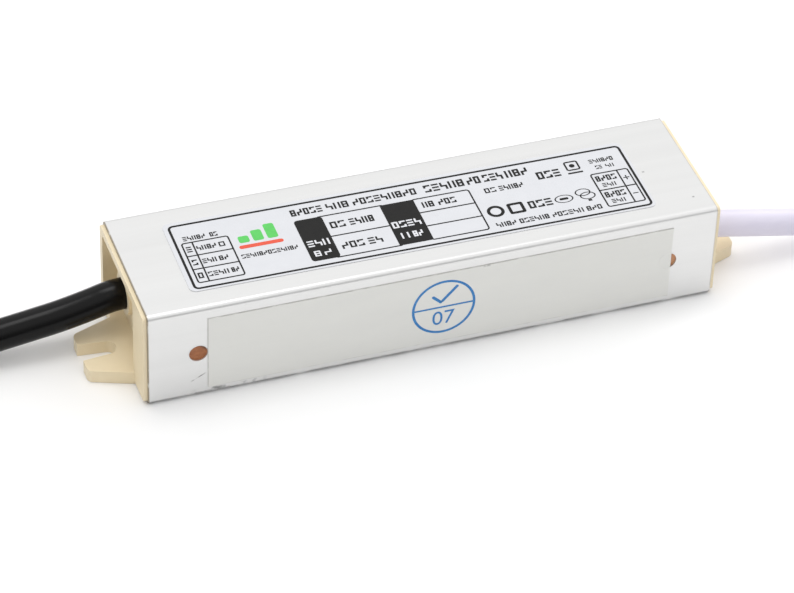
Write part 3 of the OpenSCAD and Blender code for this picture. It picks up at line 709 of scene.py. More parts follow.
@dataclass
class Housing:
    """Extruded tube with rounded long edges, cut ends and two potting holes in the front wall."""

    wall: float = 1.5
    edge_r: float = 1.2
    bore_r: float = 0.6
    hole_r: float = 2.0
    hole_x: float = 52.2
    hole_margin: float = 4.0
    cut_bevel: float = 0.12
    rim_bevel: float = 0.15
    bevel_steps: int = 2
    arc_steps: int = 10
    hole_steps: int = 48
    slot: str = "aluminium"
    low: Vector = field(default_factory=lambda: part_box("housing")[0])
    high: Vector = field(default_factory=lambda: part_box("housing")[1])

    def build(self) -> bpy.types.Object:
        """Models the tube.

        Returns:
            The tube's piece.
        """
        bm = bmesh.new()
        edges = self.outline(bm, 0.0, self.edge_r) + self.outline(bm, self.wall, self.bore_r)
        ring = bmesh.ops.bridge_loops(bm, edges=edges)["faces"]
        moved = bmesh.ops.extrude_face_region(bm, geom=ring, use_keep_orig=True)["geom"]
        verts = [item for item in moved if isinstance(item, bmesh.types.BMVert)]
        bmesh.ops.translate(bm, verts=verts, vec=(self.high.x - self.low.x, 0.0, 0.0))
        for side in (-1.0, 1.0):
            self.pierce(bm, side * self.hole_x * MM)
        bmesh.ops.recalc_face_normals(bm, faces=bm.faces)
        ends = [edge for edge in bm.edges if self.on_cut_end(edge)]
        self.bevel(bm, ends, self.cut_bevel)
        made = PieceMaker.from_bmesh("tube", bm, SLOT_FINISHES[self.slot], self.slot)
        PieceMaker.flat_normals(made)
        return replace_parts(made, "housing")

    def outline(self, bm: bmesh.types.BMesh, inset: float, radius: float) -> list[bmesh.types.BMEdge]:
        """Draws one round rectangle of the section at the input end.

        Args:
            bm: the tube's geometry.
            inset: distance inside the outer outline, in millimetres.
            radius: corner radius in millimetres.

        Returns:
            The outline's edges.
        """
        size = self.high - self.low
        middle = (self.high + self.low) / 2
        turn = Matrix.Rotation(math.pi / 2, 4, "Y")
        place = Matrix.Translation((self.low.x, middle.y, middle.z)) @ turn
        scale = Matrix.Diagonal((size.z - 2 * inset * MM, size.y - 2 * inset * MM, 1.0, 1.0))
        face = round_rectangle(bm, place @ scale, radius * MM, self.arc_steps)
        edges = list(face.edges)
        bmesh.ops.delete(bm, geom=[face], context="FACES_ONLY")
        return edges

    def pierce(self, bm: bmesh.types.BMesh, x: float) -> None:
        """Cuts one round hole through the front wall.

        Args:
            bm: the tube's geometry.
            x: the hole's place along the tube, in metres.
        """
        rims = [self.open_wall(bm, x, y) for y in (self.low.y, self.low.y + self.wall * MM)]
        bmesh.ops.bridge_loops(bm, edges=rims[0] + rims[1])
        self.bevel(bm, rims[0], self.rim_bevel)

    def open_wall(self, bm: bmesh.types.BMesh, x: float, y: float) -> list[bmesh.types.BMEdge]:
        """Opens a round hole in one flat skin of the front wall.

        Args:
            bm: the tube's geometry.
            x: the hole's place along the tube.
            y: the skin's place.

        Returns:
            The hole's edges.
        """
        z = (self.high.z + self.low.z) / 2
        margin = self.hole_margin * MM
        for cut in (x - margin, x + margin):
            skin = self.skin_at(bm, cut, y)
            geometry = [skin, *skin.edges, *skin.verts]
            bmesh.ops.bisect_plane(bm, geom=geometry, plane_co=(cut, 0.0, 0.0), plane_no=(1.0, 0.0, 0.0))
        skin = self.skin_at(bm, x, y)
        border = list(skin.edges)
        bmesh.ops.delete(bm, geom=[skin], context="FACES_ONLY")
        cuts = self.hole_steps // len(border) - 1
        pieces = bmesh.ops.bisect_edges(bm, edges=border, cuts=cuts)["geom_split"]
        square = {item for item in pieces if isinstance(item, bmesh.types.BMEdge)}
        place = Matrix.Translation((x, y, z)) @ Matrix.Rotation(math.pi / 2, 4, "X")
        circle = bmesh.ops.create_circle(
            bm, segments=self.hole_steps, radius=self.hole_r * MM, matrix=place
        )["verts"]
        rim = list({edge for vert in circle for edge in vert.link_edges})
        bmesh.ops.bridge_loops(bm, edges=list(square) + rim)
        return rim

    def skin_at(self, bm: bmesh.types.BMesh, x: float, y: float) -> bmesh.types.BMFace:
        """Finds the flat face of the front wall at a place.

        Args:
            bm: the tube's geometry.
            x: a place along the tube that the face covers.
            y: the face's plane.

        Returns:
            The face.
        """
        near = NEAR * MM
        for face in bm.faces:
            along = [vert.co.x for vert in face.verts]
            flat = all(abs(vert.co.y - y) < near for vert in face.verts)
            if flat and min(along) - near < x < max(along) + near and max(along) - min(along) > MM:
                return face
        raise ValueError("the front wall has no face there")

    def on_cut_end(self, edge: bmesh.types.BMEdge) -> bool:
        """Tells whether an edge runs along the outline of a sawn end.

        Args:
            edge: an edge of the tube.

        Returns:
            Whether it lies in the end's plane, between the end face and a wall.
        """
        near = NEAR * MM
        end_on = 0.5
        first, second = (vert.co.x for vert in edge.verts)
        if abs(first - second) > near or min(first - self.low.x, self.high.x - first) > near:
            return False
        faces = [abs(face.normal.x) for face in edge.link_faces]
        return min(faces) < end_on < max(faces)

    def bevel(self, bm: bmesh.types.BMesh, edges: list[bmesh.types.BMEdge], width: float) -> None:
        """Breaks sharp edges by a width in millimetres."""
        bmesh.ops.bevel(
            bm, geom=edges, offset=width * MM, offset_type="OFFSET", segments=self.bevel_steps,
            profile=0.5, affect="EDGES", material=-1,
        )


@dataclass
class EndCap:
    """Moulded end cap: the solid's own form with the small radii that a mould leaves."""

    node: str
    name: str
    radius: float = 0.45
    fine_radius: float = 0.18
    outside: float = 63.7
    steps: int = 4
    flat_angle: float = 0.5
    edge_angle: float = 40.0
    slot: str = "cap_plastic"

    def build(self) -> bpy.types.Object:
        """Copies the cap's solid and rounds its edges.

        Returns:
            The cap's piece.
        """
        bm = bmesh.new()
        bm.from_mesh(frame["nodes"][self.node].data)
        bmesh.ops.remove_doubles(bm, verts=bm.verts, dist=MERGE_GAP * MM)
        bmesh.ops.dissolve_limit(
            bm, angle_limit=math.radians(self.flat_angle), verts=bm.verts, edges=bm.edges
        )
        weight = bm.edges.layers.float.new("bevel_weight_edge")
        for edge in bm.edges:
            if edge.calc_face_angle(0.0) > math.radians(self.edge_angle):
                edge[weight] = 1.0 if self.is_handled(edge) else self.fine_radius / self.radius
        made = PieceMaker.from_bmesh(self.name, bm, SLOT_FINISHES[self.slot], self.slot, self.edge_angle)
        bevel = made.modifiers.new("mould_radius", "BEVEL")
        bevel.width = self.radius * MM
        bevel.segments = self.steps
        bevel.limit_method = "WEIGHT"
        PieceMaker.flat_normals(made)
        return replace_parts(made, self.node)

    def is_handled(self, edge: bmesh.types.BMEdge) -> bool:
        """Tells whether an edge is a convex one outside the tube, which gets the larger radius."""
        return edge.is_convex and all(abs(vert.co.x) > self.outside * MM for vert in edge.verts)


@dataclass(frozen=True)
class WordLine:
    """A line of blank words in millimetres, with the gap between them as a share of the height."""

    start: Pair
    height: float
    lengths: tuple[float, ...]
    gap: float = 0.6


class PrintSheet:
    """Flat ink shapes, drawn in millimetres on one face and then given a film's thickness."""

    PITCH_TO_HEIGHT = 0.74
    WIDTH_TO_PITCH = 0.82
    BAR_TO_HEIGHT = 0.2
    ROUND_END = 0.98
    DIGIT_TO_TYPE_SIZE = 0.7
    CORNER_STEPS = 6
    RING_STEPS = 96

    def __init__(self, name: str, ink: Ink, place: Matrix, slot: str, thickness: float = 0.02) -> None:
        """Starts an empty print.

        Args:
            name: the piece's name.
            ink: its ink.
            place: from the print's plane in millimetres to the part in metres.
            slot: the record's material slot of what carries it.
            thickness: the ink's thickness in millimetres.
        """
        self.name = name
        self.ink = ink
        self.place = place
        self.slot = slot
        self.thickness = thickness
        self.kinds = itertools.cycle(Glyph)
        self.bm = bmesh.new()

    def patch(self, low: Pair, high: Pair, radius: float = 0.0) -> bmesh.types.BMFace:
        """Prints one rectangle.

        Args:
            low: its lowest corner.
            high: its highest corner.
            radius: its corner radius.

        Returns:
            The rectangle's face.
        """
        middle = ((low[0] + high[0]) / 2, (low[1] + high[1]) / 2, 0.0)
        size = Matrix.Diagonal((high[0] - low[0], high[1] - low[1], 1.0, 1.0))
        return round_rectangle(self.bm, Matrix.Translation(middle) @ size, radius, self.CORNER_STEPS)

    def border(self, low: Pair, high: Pair, line: float, radius: float) -> None:
        """Prints the outline of a rectangle.

        Args:
            low: its lowest corner.
            high: its highest corner.
            line: the line's width.
            radius: its outer corner radius.
        """
        face = self.patch(low, high, radius)
        bmesh.ops.inset_individual(self.bm, faces=[face], thickness=line, use_even_offset=True)
        bmesh.ops.delete(self.bm, geom=[face], context="FACES")

    def table(
        self, low: Pair, high: Pair, columns: Sequence[float], rows: Sequence[float], line: float,
        radius: float,
    ) -> None:
        """Prints a table's lines.

        Args:
            low: its lowest corner.
            high: its highest corner.
            columns: places of the upright lines.
            rows: places of the level lines.
            line: the lines' width.
            radius: its outer corner radius.
        """
        half = line / 2
        whole = self.patch((low[0] - half, low[1] - half), (high[0] + half, high[1] + half), radius)
        bmesh.ops.inset_individual(self.bm, faces=[whole], thickness=half, use_even_offset=True)
        kept = set(self.bm.faces) - {whole}
        cuts = [((x, 0.0, 0.0), (1.0, 0.0, 0.0)) for x in columns]
        cuts += [((0.0, y, 0.0), (0.0, 1.0, 0.0)) for y in rows]
        for point, normal in cuts:
            cells = [face for face in self.bm.faces if face not in kept]
            edges = {edge for face in cells for edge in face.edges}
            verts = {vert for face in cells for vert in face.verts}
            bmesh.ops.bisect_plane(
                self.bm, geom=[*verts, *edges, *cells], plane_co=point, plane_no=normal
            )
        cells = [face for face in self.bm.faces if face not in kept]
        bmesh.ops.inset_individual(self.bm, faces=cells, thickness=half, use_even_offset=True)
        bmesh.ops.delete(self.bm, geom=cells, context="FACES")

    def ring(self, centre: Pair, radius: float, line: float, squash: float = 1.0) -> None:
        """Prints a ring.

        Args:
            centre: its middle.
            radius: its outer radius.
            line: the line's width.
            squash: its height as a share of its width.
        """
        before = set(self.bm.verts)
        ends = [self.bm.verts.new((reach, 0.0, 0.0)) for reach in (radius - line, radius)]
        edge = self.bm.edges.new(ends)
        bmesh.ops.spin(
            self.bm, geom=[*ends, edge], cent=(0.0, 0.0, 0.0), axis=(0.0, 0.0, 1.0), angle=2 * math.pi,
            steps=self.RING_STEPS, use_merge=True,
        )
        verts = [vert for vert in self.bm.verts if vert not in before]
        faces = list({face for vert in verts for face in vert.link_faces})
        if faces[0].normal.z < 0:
            bmesh.ops.reverse_faces(self.bm, faces=faces)
        place = Matrix.Translation((*centre, 0.0)) @ Matrix.Diagonal((1.0, squash, 1.0, 1.0))
        bmesh.ops.transform(self.bm, matrix=place, verts=verts)

    def words(self, *lines: WordLine) -> None:
        """Prints lines of blank words, each word a row of plain shapes.

        Args:
            lines: the lines in their order.
        """
        for line in lines:
            x, y = line.start
            for length in line.lengths:
                count = max(1, round(length / (self.PITCH_TO_HEIGHT * line.height)))
                pitch = length / count
                for index in range(count):
                    corner = (x + index * pitch, y)
                    self.glyph(next(self.kinds), corner, self.WIDTH_TO_PITCH * pitch, line.height)
                x += length + line.gap * line.height

    def glyph(self, kind: Glyph, corner: Pair, width: float, height: float) -> None:
        """Prints one plain shape out of bars.

        Args:
            kind: which shape.
            corner: its lower left corner.
            width: its width.
            height: its height.
        """
        x, y = corner
        line = self.BAR_TO_HEIGHT * height
        right = x + width - line
        below, above = y + (height - line) / 2, y + (height + line) / 2
        start = x + line if "left" in kind.value else x
        stop = right if "right" in kind.value else x + width
        low = y + line if "bottom" in kind.value else y
        high = y + height - line if "top" in kind.value else y + height
        bars = {
            "left": ((x, y), (x + line, y + height)),
            "right": ((right, y), (x + width, y + height)),
            "upper_left": ((x, above), (x + line, high)),
            "upper_right": ((right, above), (x + width, high)),
            "lower_left": ((x, low), (x + line, below)),
            "lower_right": ((right, low), (x + width, below)),
            "top": ((start, y + height - line), (stop, y + height)),
            "middle": ((start, below), (stop, above)),
            "bottom": ((start, y), (stop, y + line)),
        }
        for bar in kind.value:
            self.patch(*bars[bar])

    def stroke(self, start: Pair, end: Pair, line: float) -> None:
        """Prints one straight stroke with round ends.

        Args:
            start: its first point.
            end: its last point.
            line: its width.
        """
        run = Vector(end) - Vector(start)
        half = line / 2
        face = self.patch((-half, -half), (run.length + half, half), half * self.ROUND_END)
        turn = Matrix.Translation((*start, 0.0)) @ Matrix.Rotation(math.atan2(run.y, run.x), 4, "Z")
        bmesh.ops.transform(self.bm, matrix=turn, verts=face.verts)

    def number(self, text: str, centre: Pair, height: float) -> None:
        """Prints a plain number.

        Args:
            text: its digits.
            centre: its middle.
            height: height of the digits.
        """
        curve = bpy.data.curves.new(self.name + "_digits", "FONT")
        curve.body = text
        curve.align_x = "CENTER"
        curve.align_y = "CENTER"
        curve.size = height / self.DIGIT_TO_TYPE_SIZE
        carrier = bpy.data.objects.new(curve.name, curve)
        bpy.context.scene.collection.objects.link(carrier)
        graph = bpy.context.evaluated_depsgraph_get()
        shape = bpy.data.meshes.new_from_object(carrier.evaluated_get(graph))
        bpy.data.objects.remove(carrier)
        shape.transform(Matrix.Translation((*centre, 0.0)))
        self.bm.from_mesh(shape)
        bpy.data.meshes.remove(shape)

    def build(self) -> bpy.types.Object:
        """Gives the print its thickness and places it.

        Returns:
            The print's piece.
        """
        bm = self.bm
        bmesh.ops.remove_doubles(bm, verts=bm.verts, dist=MERGE_GAP)
        bmesh.ops.solidify(bm, geom=bm.faces[:], thickness=self.thickness)
        bmesh.ops.translate(bm, verts=bm.verts, vec=(0.0, 0.0, self.thickness))
        bmesh.ops.transform(bm, matrix=self.place, verts=bm.verts)
        bmesh.ops.recalc_face_normals(bm, faces=bm.faces)
        return PieceMaker.from_bmesh(self.name, bm, INK_FINISHES[self.ink], self.slot)


@dataclass
class RatingLabel:
    """Print on the silvery film on top: a frame, tables, dark fields, plain signs and blank words."""

    skew: float = -0.5
    shift: float = -0.3
    line: float = 0.34
    sign_line: float = 0.26
    frame_line: float = 0.54
    frame_low: Pair = (-51.05, -11.18)
    frame_high: Pair = (50.4, 10.36)
    frame_r: float = 1.2
    table_low: float = -9.25
    table_high: float = 4.7
    dark_fields: tuple[Triple, ...] = ((-25.0, -18.8, 0.8), (-5.9, 1.6, 0.0))
    input_rows: tuple[float, ...] = (4.0, -0.4, -4.8, -9.2)
    core_words: tuple[Pair, ...] = ((4.4, 1.6), (3.2, 2.2), (4.6, 1.8))
    output_rows: Triple = (2.2, -3.5, -9.2)
    rule_low: Pair = (-38.3, -1.1)
    rule_high: Pair = (-28.7, 0.0)
    bars: tuple[Pair, ...] = ((-37.8, 2.2), (-34.7, 3.5), (-31.6, 4.8))
    bar_foot: float = 0.8
    bar_w: float = 2.3
    bar_r: float = 0.5
    rating_lines: tuple[WordLine, ...] = (
        WordLine((-17.9, 0.2), 2.1, (3.6, 5.6), 0.3),
        WordLine((-17.6, -7.0), 2.1, (5.2, 3.4), 0.3),
        WordLine((2.9, 1.4), 1.9, (2.8, 4.2), 0.4),
    )
    heading_lines: tuple[WordLine, ...] = (
        WordLine((-24.8, 6.3), 2.1, (7.2, 5.2, 14.4), 0.33),
        WordLine((5.0, 6.2), 2.4, (9.2, 3.3, 4.7, 5.3), 0.16),
        WordLine((17.2, 2.4), 1.6, (2.8, 5.6), 0.3),
        WordLine((29.7, 3.7), 2.5, (5.6,)),
        WordLine((15.8, -9.3), 1.5, (4.6, 6.8, 7.2, 3.6), 0.38),
        WordLine((-38.7, -4.2), 1.3, (12.4,)),
    )
    reversed_lines: tuple[WordLine, ...] = (
        WordLine((-24.4, -4.6), 2.0, (5.1,)),
        WordLine((-23.9, -7.9), 1.8, (1.7, 1.9), 0.25),
        WordLine((-5.4, -3.6), 2.1, (6.6,)),
        WordLine((-4.6, -7.3), 1.9, (2.1, 2.4), 0.25),
    )
    slot: str = "label_film"

    def place(self, lift: float = 0.0) -> Matrix:
        """Finds the label's plane.

        Args:
            lift: height above the film, in millimetres.

        Returns:
            The matrix from millimetres on the label to metres on the part.
        """
        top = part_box("rating_label")[1].z / MM
        turn = Matrix.Rotation(math.radians(self.skew), 4, "Z")
        return Matrix.Scale(MM, 4) @ Matrix.Translation((0.0, self.shift, top + lift)) @ turn

    def sheet(self, name: str, ink: Ink, lift: float = 0.0) -> PrintSheet:
        """Starts one layer of the print."""
        return PrintSheet("label_" + name, ink, self.place(lift), self.slot)

    def build(self) -> list[bpy.types.Object]:
        """Prints the label in its inks.

        Returns:
            One piece for each layer.
        """
        black = self.sheet("lines", Ink.BLACK)
        black.border(self.frame_low, self.frame_high, self.frame_line, self.frame_r)
        self.input_table(black)
        self.rating_table(black)
        self.output_table(black)
        black.words(*self.heading_lines)
        self.signs(black)
        fields = self.sheet("dark_fields", Ink.BLACK, lift=black.thickness)
        for left, right, radius in self.dark_fields:
            fields.patch((left, self.table_low), (right, self.table_high), radius)
        white = self.sheet("reversed_words", Ink.WHITE, lift=2 * black.thickness)
        white.words(*self.reversed_lines)
        red = self.sheet("rule", Ink.RED)
        red.patch(self.rule_low, self.rule_high, self.bar_r)
        green = self.sheet("bars", Ink.GREEN)
        for x, height in self.bars:
            green.patch((x, self.bar_foot), (x + self.bar_w, self.bar_foot + height), self.bar_r)
        return [layer.build() for layer in (black, fields, white, red, green)]

    def input_table(self, black: PrintSheet) -> None:
        """Prints the table of the three mains cores.

        Args:
            black: the layer of lines and words.
        """
        rows = self.input_rows
        left, split, right = -49.6, -47.3, -39.6
        black.table((left, rows[-1]), (right, rows[0]), [split], rows[1:-1], self.line, radius=0.7)
        black.words(WordLine((-48.9, 4.7), 1.4, (5.0, 1.8)))
        for row, lengths in zip(rows[1:], self.core_words):
            black.words(
                WordLine((-49.1, row + 1.3), 1.8, (1.4,)),
                WordLine((-46.9, row + 1.4), 1.5, lengths, 0.25),
            )

    def rating_table(self, black: PrintSheet) -> None:
        """Prints the cells beside the two dark fields.

        Args:
            black: the layer of lines and words.
        """
        low, high = self.table_low, self.table_high
        black.table((-19.6, low), (-5.4, high), columns=[], rows=[-2.3], line=self.line, radius=0.3)
        black.table((1.2, low), (14.0, high), columns=[], rows=[0.0, -4.6], line=self.line, radius=0.8)
        black.words(*self.rating_lines)

    def output_table(self, black: PrintSheet) -> None:
        """Prints the table of the two output cores, with plus and minus.

        Args:
            black: the layer of lines and words.
        """
        high, middle, low = self.output_rows
        left, split, right = 40.9, 46.9, 49.3
        black.table((left, low), (right, high), [split], [middle], self.line, radius=0.7)
        black.words(WordLine((42.2, 5.9), 1.3, (5.6,)), WordLine((42.9, 3.7), 1.2, (1.6, 2.0)))
        for row in (low, middle):
            black.words(
                WordLine((41.5, row + 3.0), 1.8, (4.8,)),
                WordLine((42.2, row + 0.9), 1.3, (3.2,)),
            )
        sign_x, plus_y, minus_y = 48.1, -0.7, -6.3
        for y, arm in ((plus_y, 0.6), (minus_y, 0.5)):
            black.stroke((sign_x - arm, y), (sign_x + arm, y), self.sign_line)
        near, far = 0.2, 0.65
        for start, end in ((near, far), (-far, -near)):
            black.stroke((sign_x, plus_y + start), (sign_x, plus_y + end), self.sign_line)

    @staticmethod
    def signs(black: PrintSheet) -> None:
        """Prints the plain round and square signs on the right.

        Args:
            black: the layer of lines and words.
        """
        black.border(low=(36.6, 4.7), high=(39.8, 7.9), line=0.4, radius=0.6)
        black.patch(low=(37.6, 5.7), high=(38.8, 6.9), radius=0.55)
        black.patch(low=(36.5, 3.6), high=(39.9, 4.1))
        black.ring(centre=(17.2, -4.0), radius=1.9, line=0.72)
        black.border(low=(20.0, -5.9), high=(23.6, -2.3), line=0.7, radius=0.5)
        black.words(WordLine((24.6, -5.2), 2.4, (5.6,)))
        black.ring(centre=(32.6, -4.0), radius=2.1, line=0.3, squash=0.62)
        black.patch(low=(31.6, -4.35), high=(33.6, -3.65), radius=0.3)
        for centre in ((37.2, -3.0), (37.9, -4.3)):
            black.ring(centre, radius=1.75, line=0.3, squash=0.7)
        black.patch(low=(37.5, -6.2), high=(38.3, -5.6))


@dataclass
class SideStamp:
    """Blue inspection ring printed on the plain film of the front wall."""

    centre: Pair = (1.5, 11.3)
    radius: float = 7.08
    line: float = 0.58
    middle_line: float = 0.42
    tick: tuple[tuple[Pair, Pair], ...] = (((-2.4, 3.0), (-0.7, 1.4)), ((-0.3, 1.7), (2.8, 5.0)))
    tick_line: float = 0.68
    number: str = "07"
    number_drop: float = 3.1
    number_h: float = 3.6
    slot: str = "side_film"

    def build(self) -> bpy.types.Object:
        """Prints the ring with its tick and its number.

        Returns:
            The stamp's piece.
        """
        face_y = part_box("side_film")[0].y
        upright = Matrix.Rotation(math.pi / 2, 4, "X")
        place = Matrix.Translation((0.0, face_y, 0.0)) @ upright @ Matrix.Scale(MM, 4)
        stamp = PrintSheet("film_stamp", Ink.BLUE, place, self.slot)
        x, z = self.centre
        reach = self.radius - self.line
        half = self.middle_line / 2
        stamp.ring(self.centre, self.radius, self.line)
        stamp.patch((x - reach, z - half), (x + reach, z + half))
        for start, end in self.tick:
            stamp.stroke((x + start[0], z + start[1]), (x + end[0], z + end[1]), self.tick_line)
        stamp.number(self.number, (x, z - self.number_drop), self.number_h)
        return stamp.build()


@dataclass
class ResinFaces:
    """Cured resin that shows in the two holes, drawn up a little at the hole's wall.

    The profile runs inwards from the wall: shares of the hole's radius, and depths in millimetres.
    """

    profile: tuple[Pair, ...] = ((1.0, 0.18), (0.93, 0.288), (0.8, 0.36), (0.0, 0.324))
    steps: int = 48
    sharp_angle: float = 60.0
    slot: str = "resin"

    def build(self, tube: Housing) -> bpy.types.Object:
        """Turns the dished faces.

        Args:
            tube: the tube whose holes they fill.

        Returns:
            The piece with both faces.
        """
        bm = bmesh.new()
        points = [metres((share * tube.hole_r, depth, 0.0)) for share, depth in self.profile]
        for side in (-1.0, 1.0):
            axis = Vector((side * tube.hole_x * MM, 0.0, (tube.low.z + tube.high.z) / 2))
            front = axis + Vector((0.0, tube.low.y, 0.0))
            verts = [bm.verts.new(front + point) for point in points]
            edges = [bm.edges.new(pair) for pair in zip(verts, verts[1:])]
            bmesh.ops.spin(
                bm, geom=verts + edges, cent=axis, axis=(0.0, 1.0, 0.0), angle=2 * math.pi,
                steps=self.steps, use_merge=True,
            )
        bmesh.ops.remove_doubles(bm, verts=bm.verts, dist=MERGE_GAP * MM)
        bmesh.ops.recalc_face_normals(bm, faces=bm.faces)
        if sum(face.normal.y for face in bm.faces) > 0:
            bmesh.ops.reverse_faces(bm, faces=bm.faces[:])
        finish = SLOT_FINISHES[self.slot]
        return PieceMaker.from_bmesh("resin_faces", bm, finish, self.slot, self.sharp_angle)


# Where the leads leave their caps, and the sheaths' length and diameters, in millimetres
LEAD_Y = 7.0
LEAD_Z = 11.0
LEAD_L = 158.0
INPUT_D = 6.8
OUTPUT_D = 6.0
# Radius of the leads' half turn in diameters, and its step in degrees
TURN_R = 3
TURN_STEP = 15
LEAD_START = [(9.5, LEAD_Y, LEAD_Z), (1.0, LEAD_Y, LEAD_Z)]
INPUT_DROP = LEAD_START + [
    (-2, LEAD_Y, 10.6), (-5, LEAD_Y, 9.8), (-9, LEAD_Y, 8.8), (-13, LEAD_Y, 7.95), (-18, LEAD_Y, 7.15),
    (-25, LEAD_Y, 6.1), (-32, LEAD_Y, 5.05), (-39, LEAD_Y, 4.1), (-46, LEAD_Y, 3.5), (-54, LEAD_Y, 3.4),
    (-62, LEAD_Y, 3.4), (-71, LEAD_Y, 3.4),
]
OUTPUT_DROP = LEAD_START + [
    (-3, LEAD_Y, 10.9), (-7, LEAD_Y, 10.25), (-12, LEAD_Y, 9.2), (-17, LEAD_Y, 8.15), (-22, LEAD_Y, 7.1),
    (-28, LEAD_Y, 5.85), (-34, LEAD_Y, 4.65), (-40, LEAD_Y, 3.7), (-47, LEAD_Y, 3.1), (-54, LEAD_Y, 3),
    (-63, LEAD_Y, 3),
]
MIDDLE_CORE = [
    (0, 0, 1.4), (2, 0, 1.4), (5, 0, 1.1), (10, 0, 0), (15, 0, -1.2), (20, 0, -2.1), (25, 0, -2.3),
    (30, 0, -2.3),
]
LOW_CORE = [
    (0, 1.2, -0.7), (2, 1.2, -0.7), (5, 1.7, -0.9), (10, 2.8, -1.4), (15, 3.8, -2), (20, 4.4, -2.3),
    (25, 4.6, -2.3), (30, 4.6, -2.3),
]
LEVEL_CORE = [
    (0, 1.2, 0), (2, 1.2, 0), (5, 1.7, -0.3), (10, 2.8, -1), (15, 3.8, -1.6), (20, 4.4, -1.9),
    (25, 4.6, -1.9), (30, 4.6, -1.9),
]


def lead_route(
    drop: Sequence[Triple], turn_x: float, diameter: float, side: int, back: float
) -> list[Triple]:
    """Leads a sheath down to the surface, round in a half turn and back a little.

    Args:
        drop: points from the cap to the surface.
        turn_x: where the half turn starts.
        diameter: the sheath's diameter.
        side: 1 or -1, the side that it turns to.
        back: straight length after the turn.

    Returns:
        The route in the end's own drawing.
    """
    radius = TURN_R * diameter
    angles = [math.radians(angle) for angle in range(0, 180 + TURN_STEP, TURN_STEP)]
    turn = [
        (turn_x - radius * math.sin(angle), LEAD_Y + side * radius * (1 - math.cos(angle)), diameter / 2)
        for angle in angles
    ]
    last_x, last_y, last_z = turn[-1]
    return [*drop, *turn, (last_x + back, last_y, last_z)]


def core_route(sheath: Sequence[Triple], steps: Sequence[Triple], side: int) -> list[Triple]:
    """Leads a stripped core on from the end of its sheath.

    Args:
        sheath: the sheath's route.
        steps: the core's points from the sheath's end.
        side: 1 or -1, the side that it spreads to.

    Returns:
        The core's route.
    """
    x, y, z = sheath[-1]
    return [(x + step[0], y + side * step[1], z + step[2]) for step in steps]


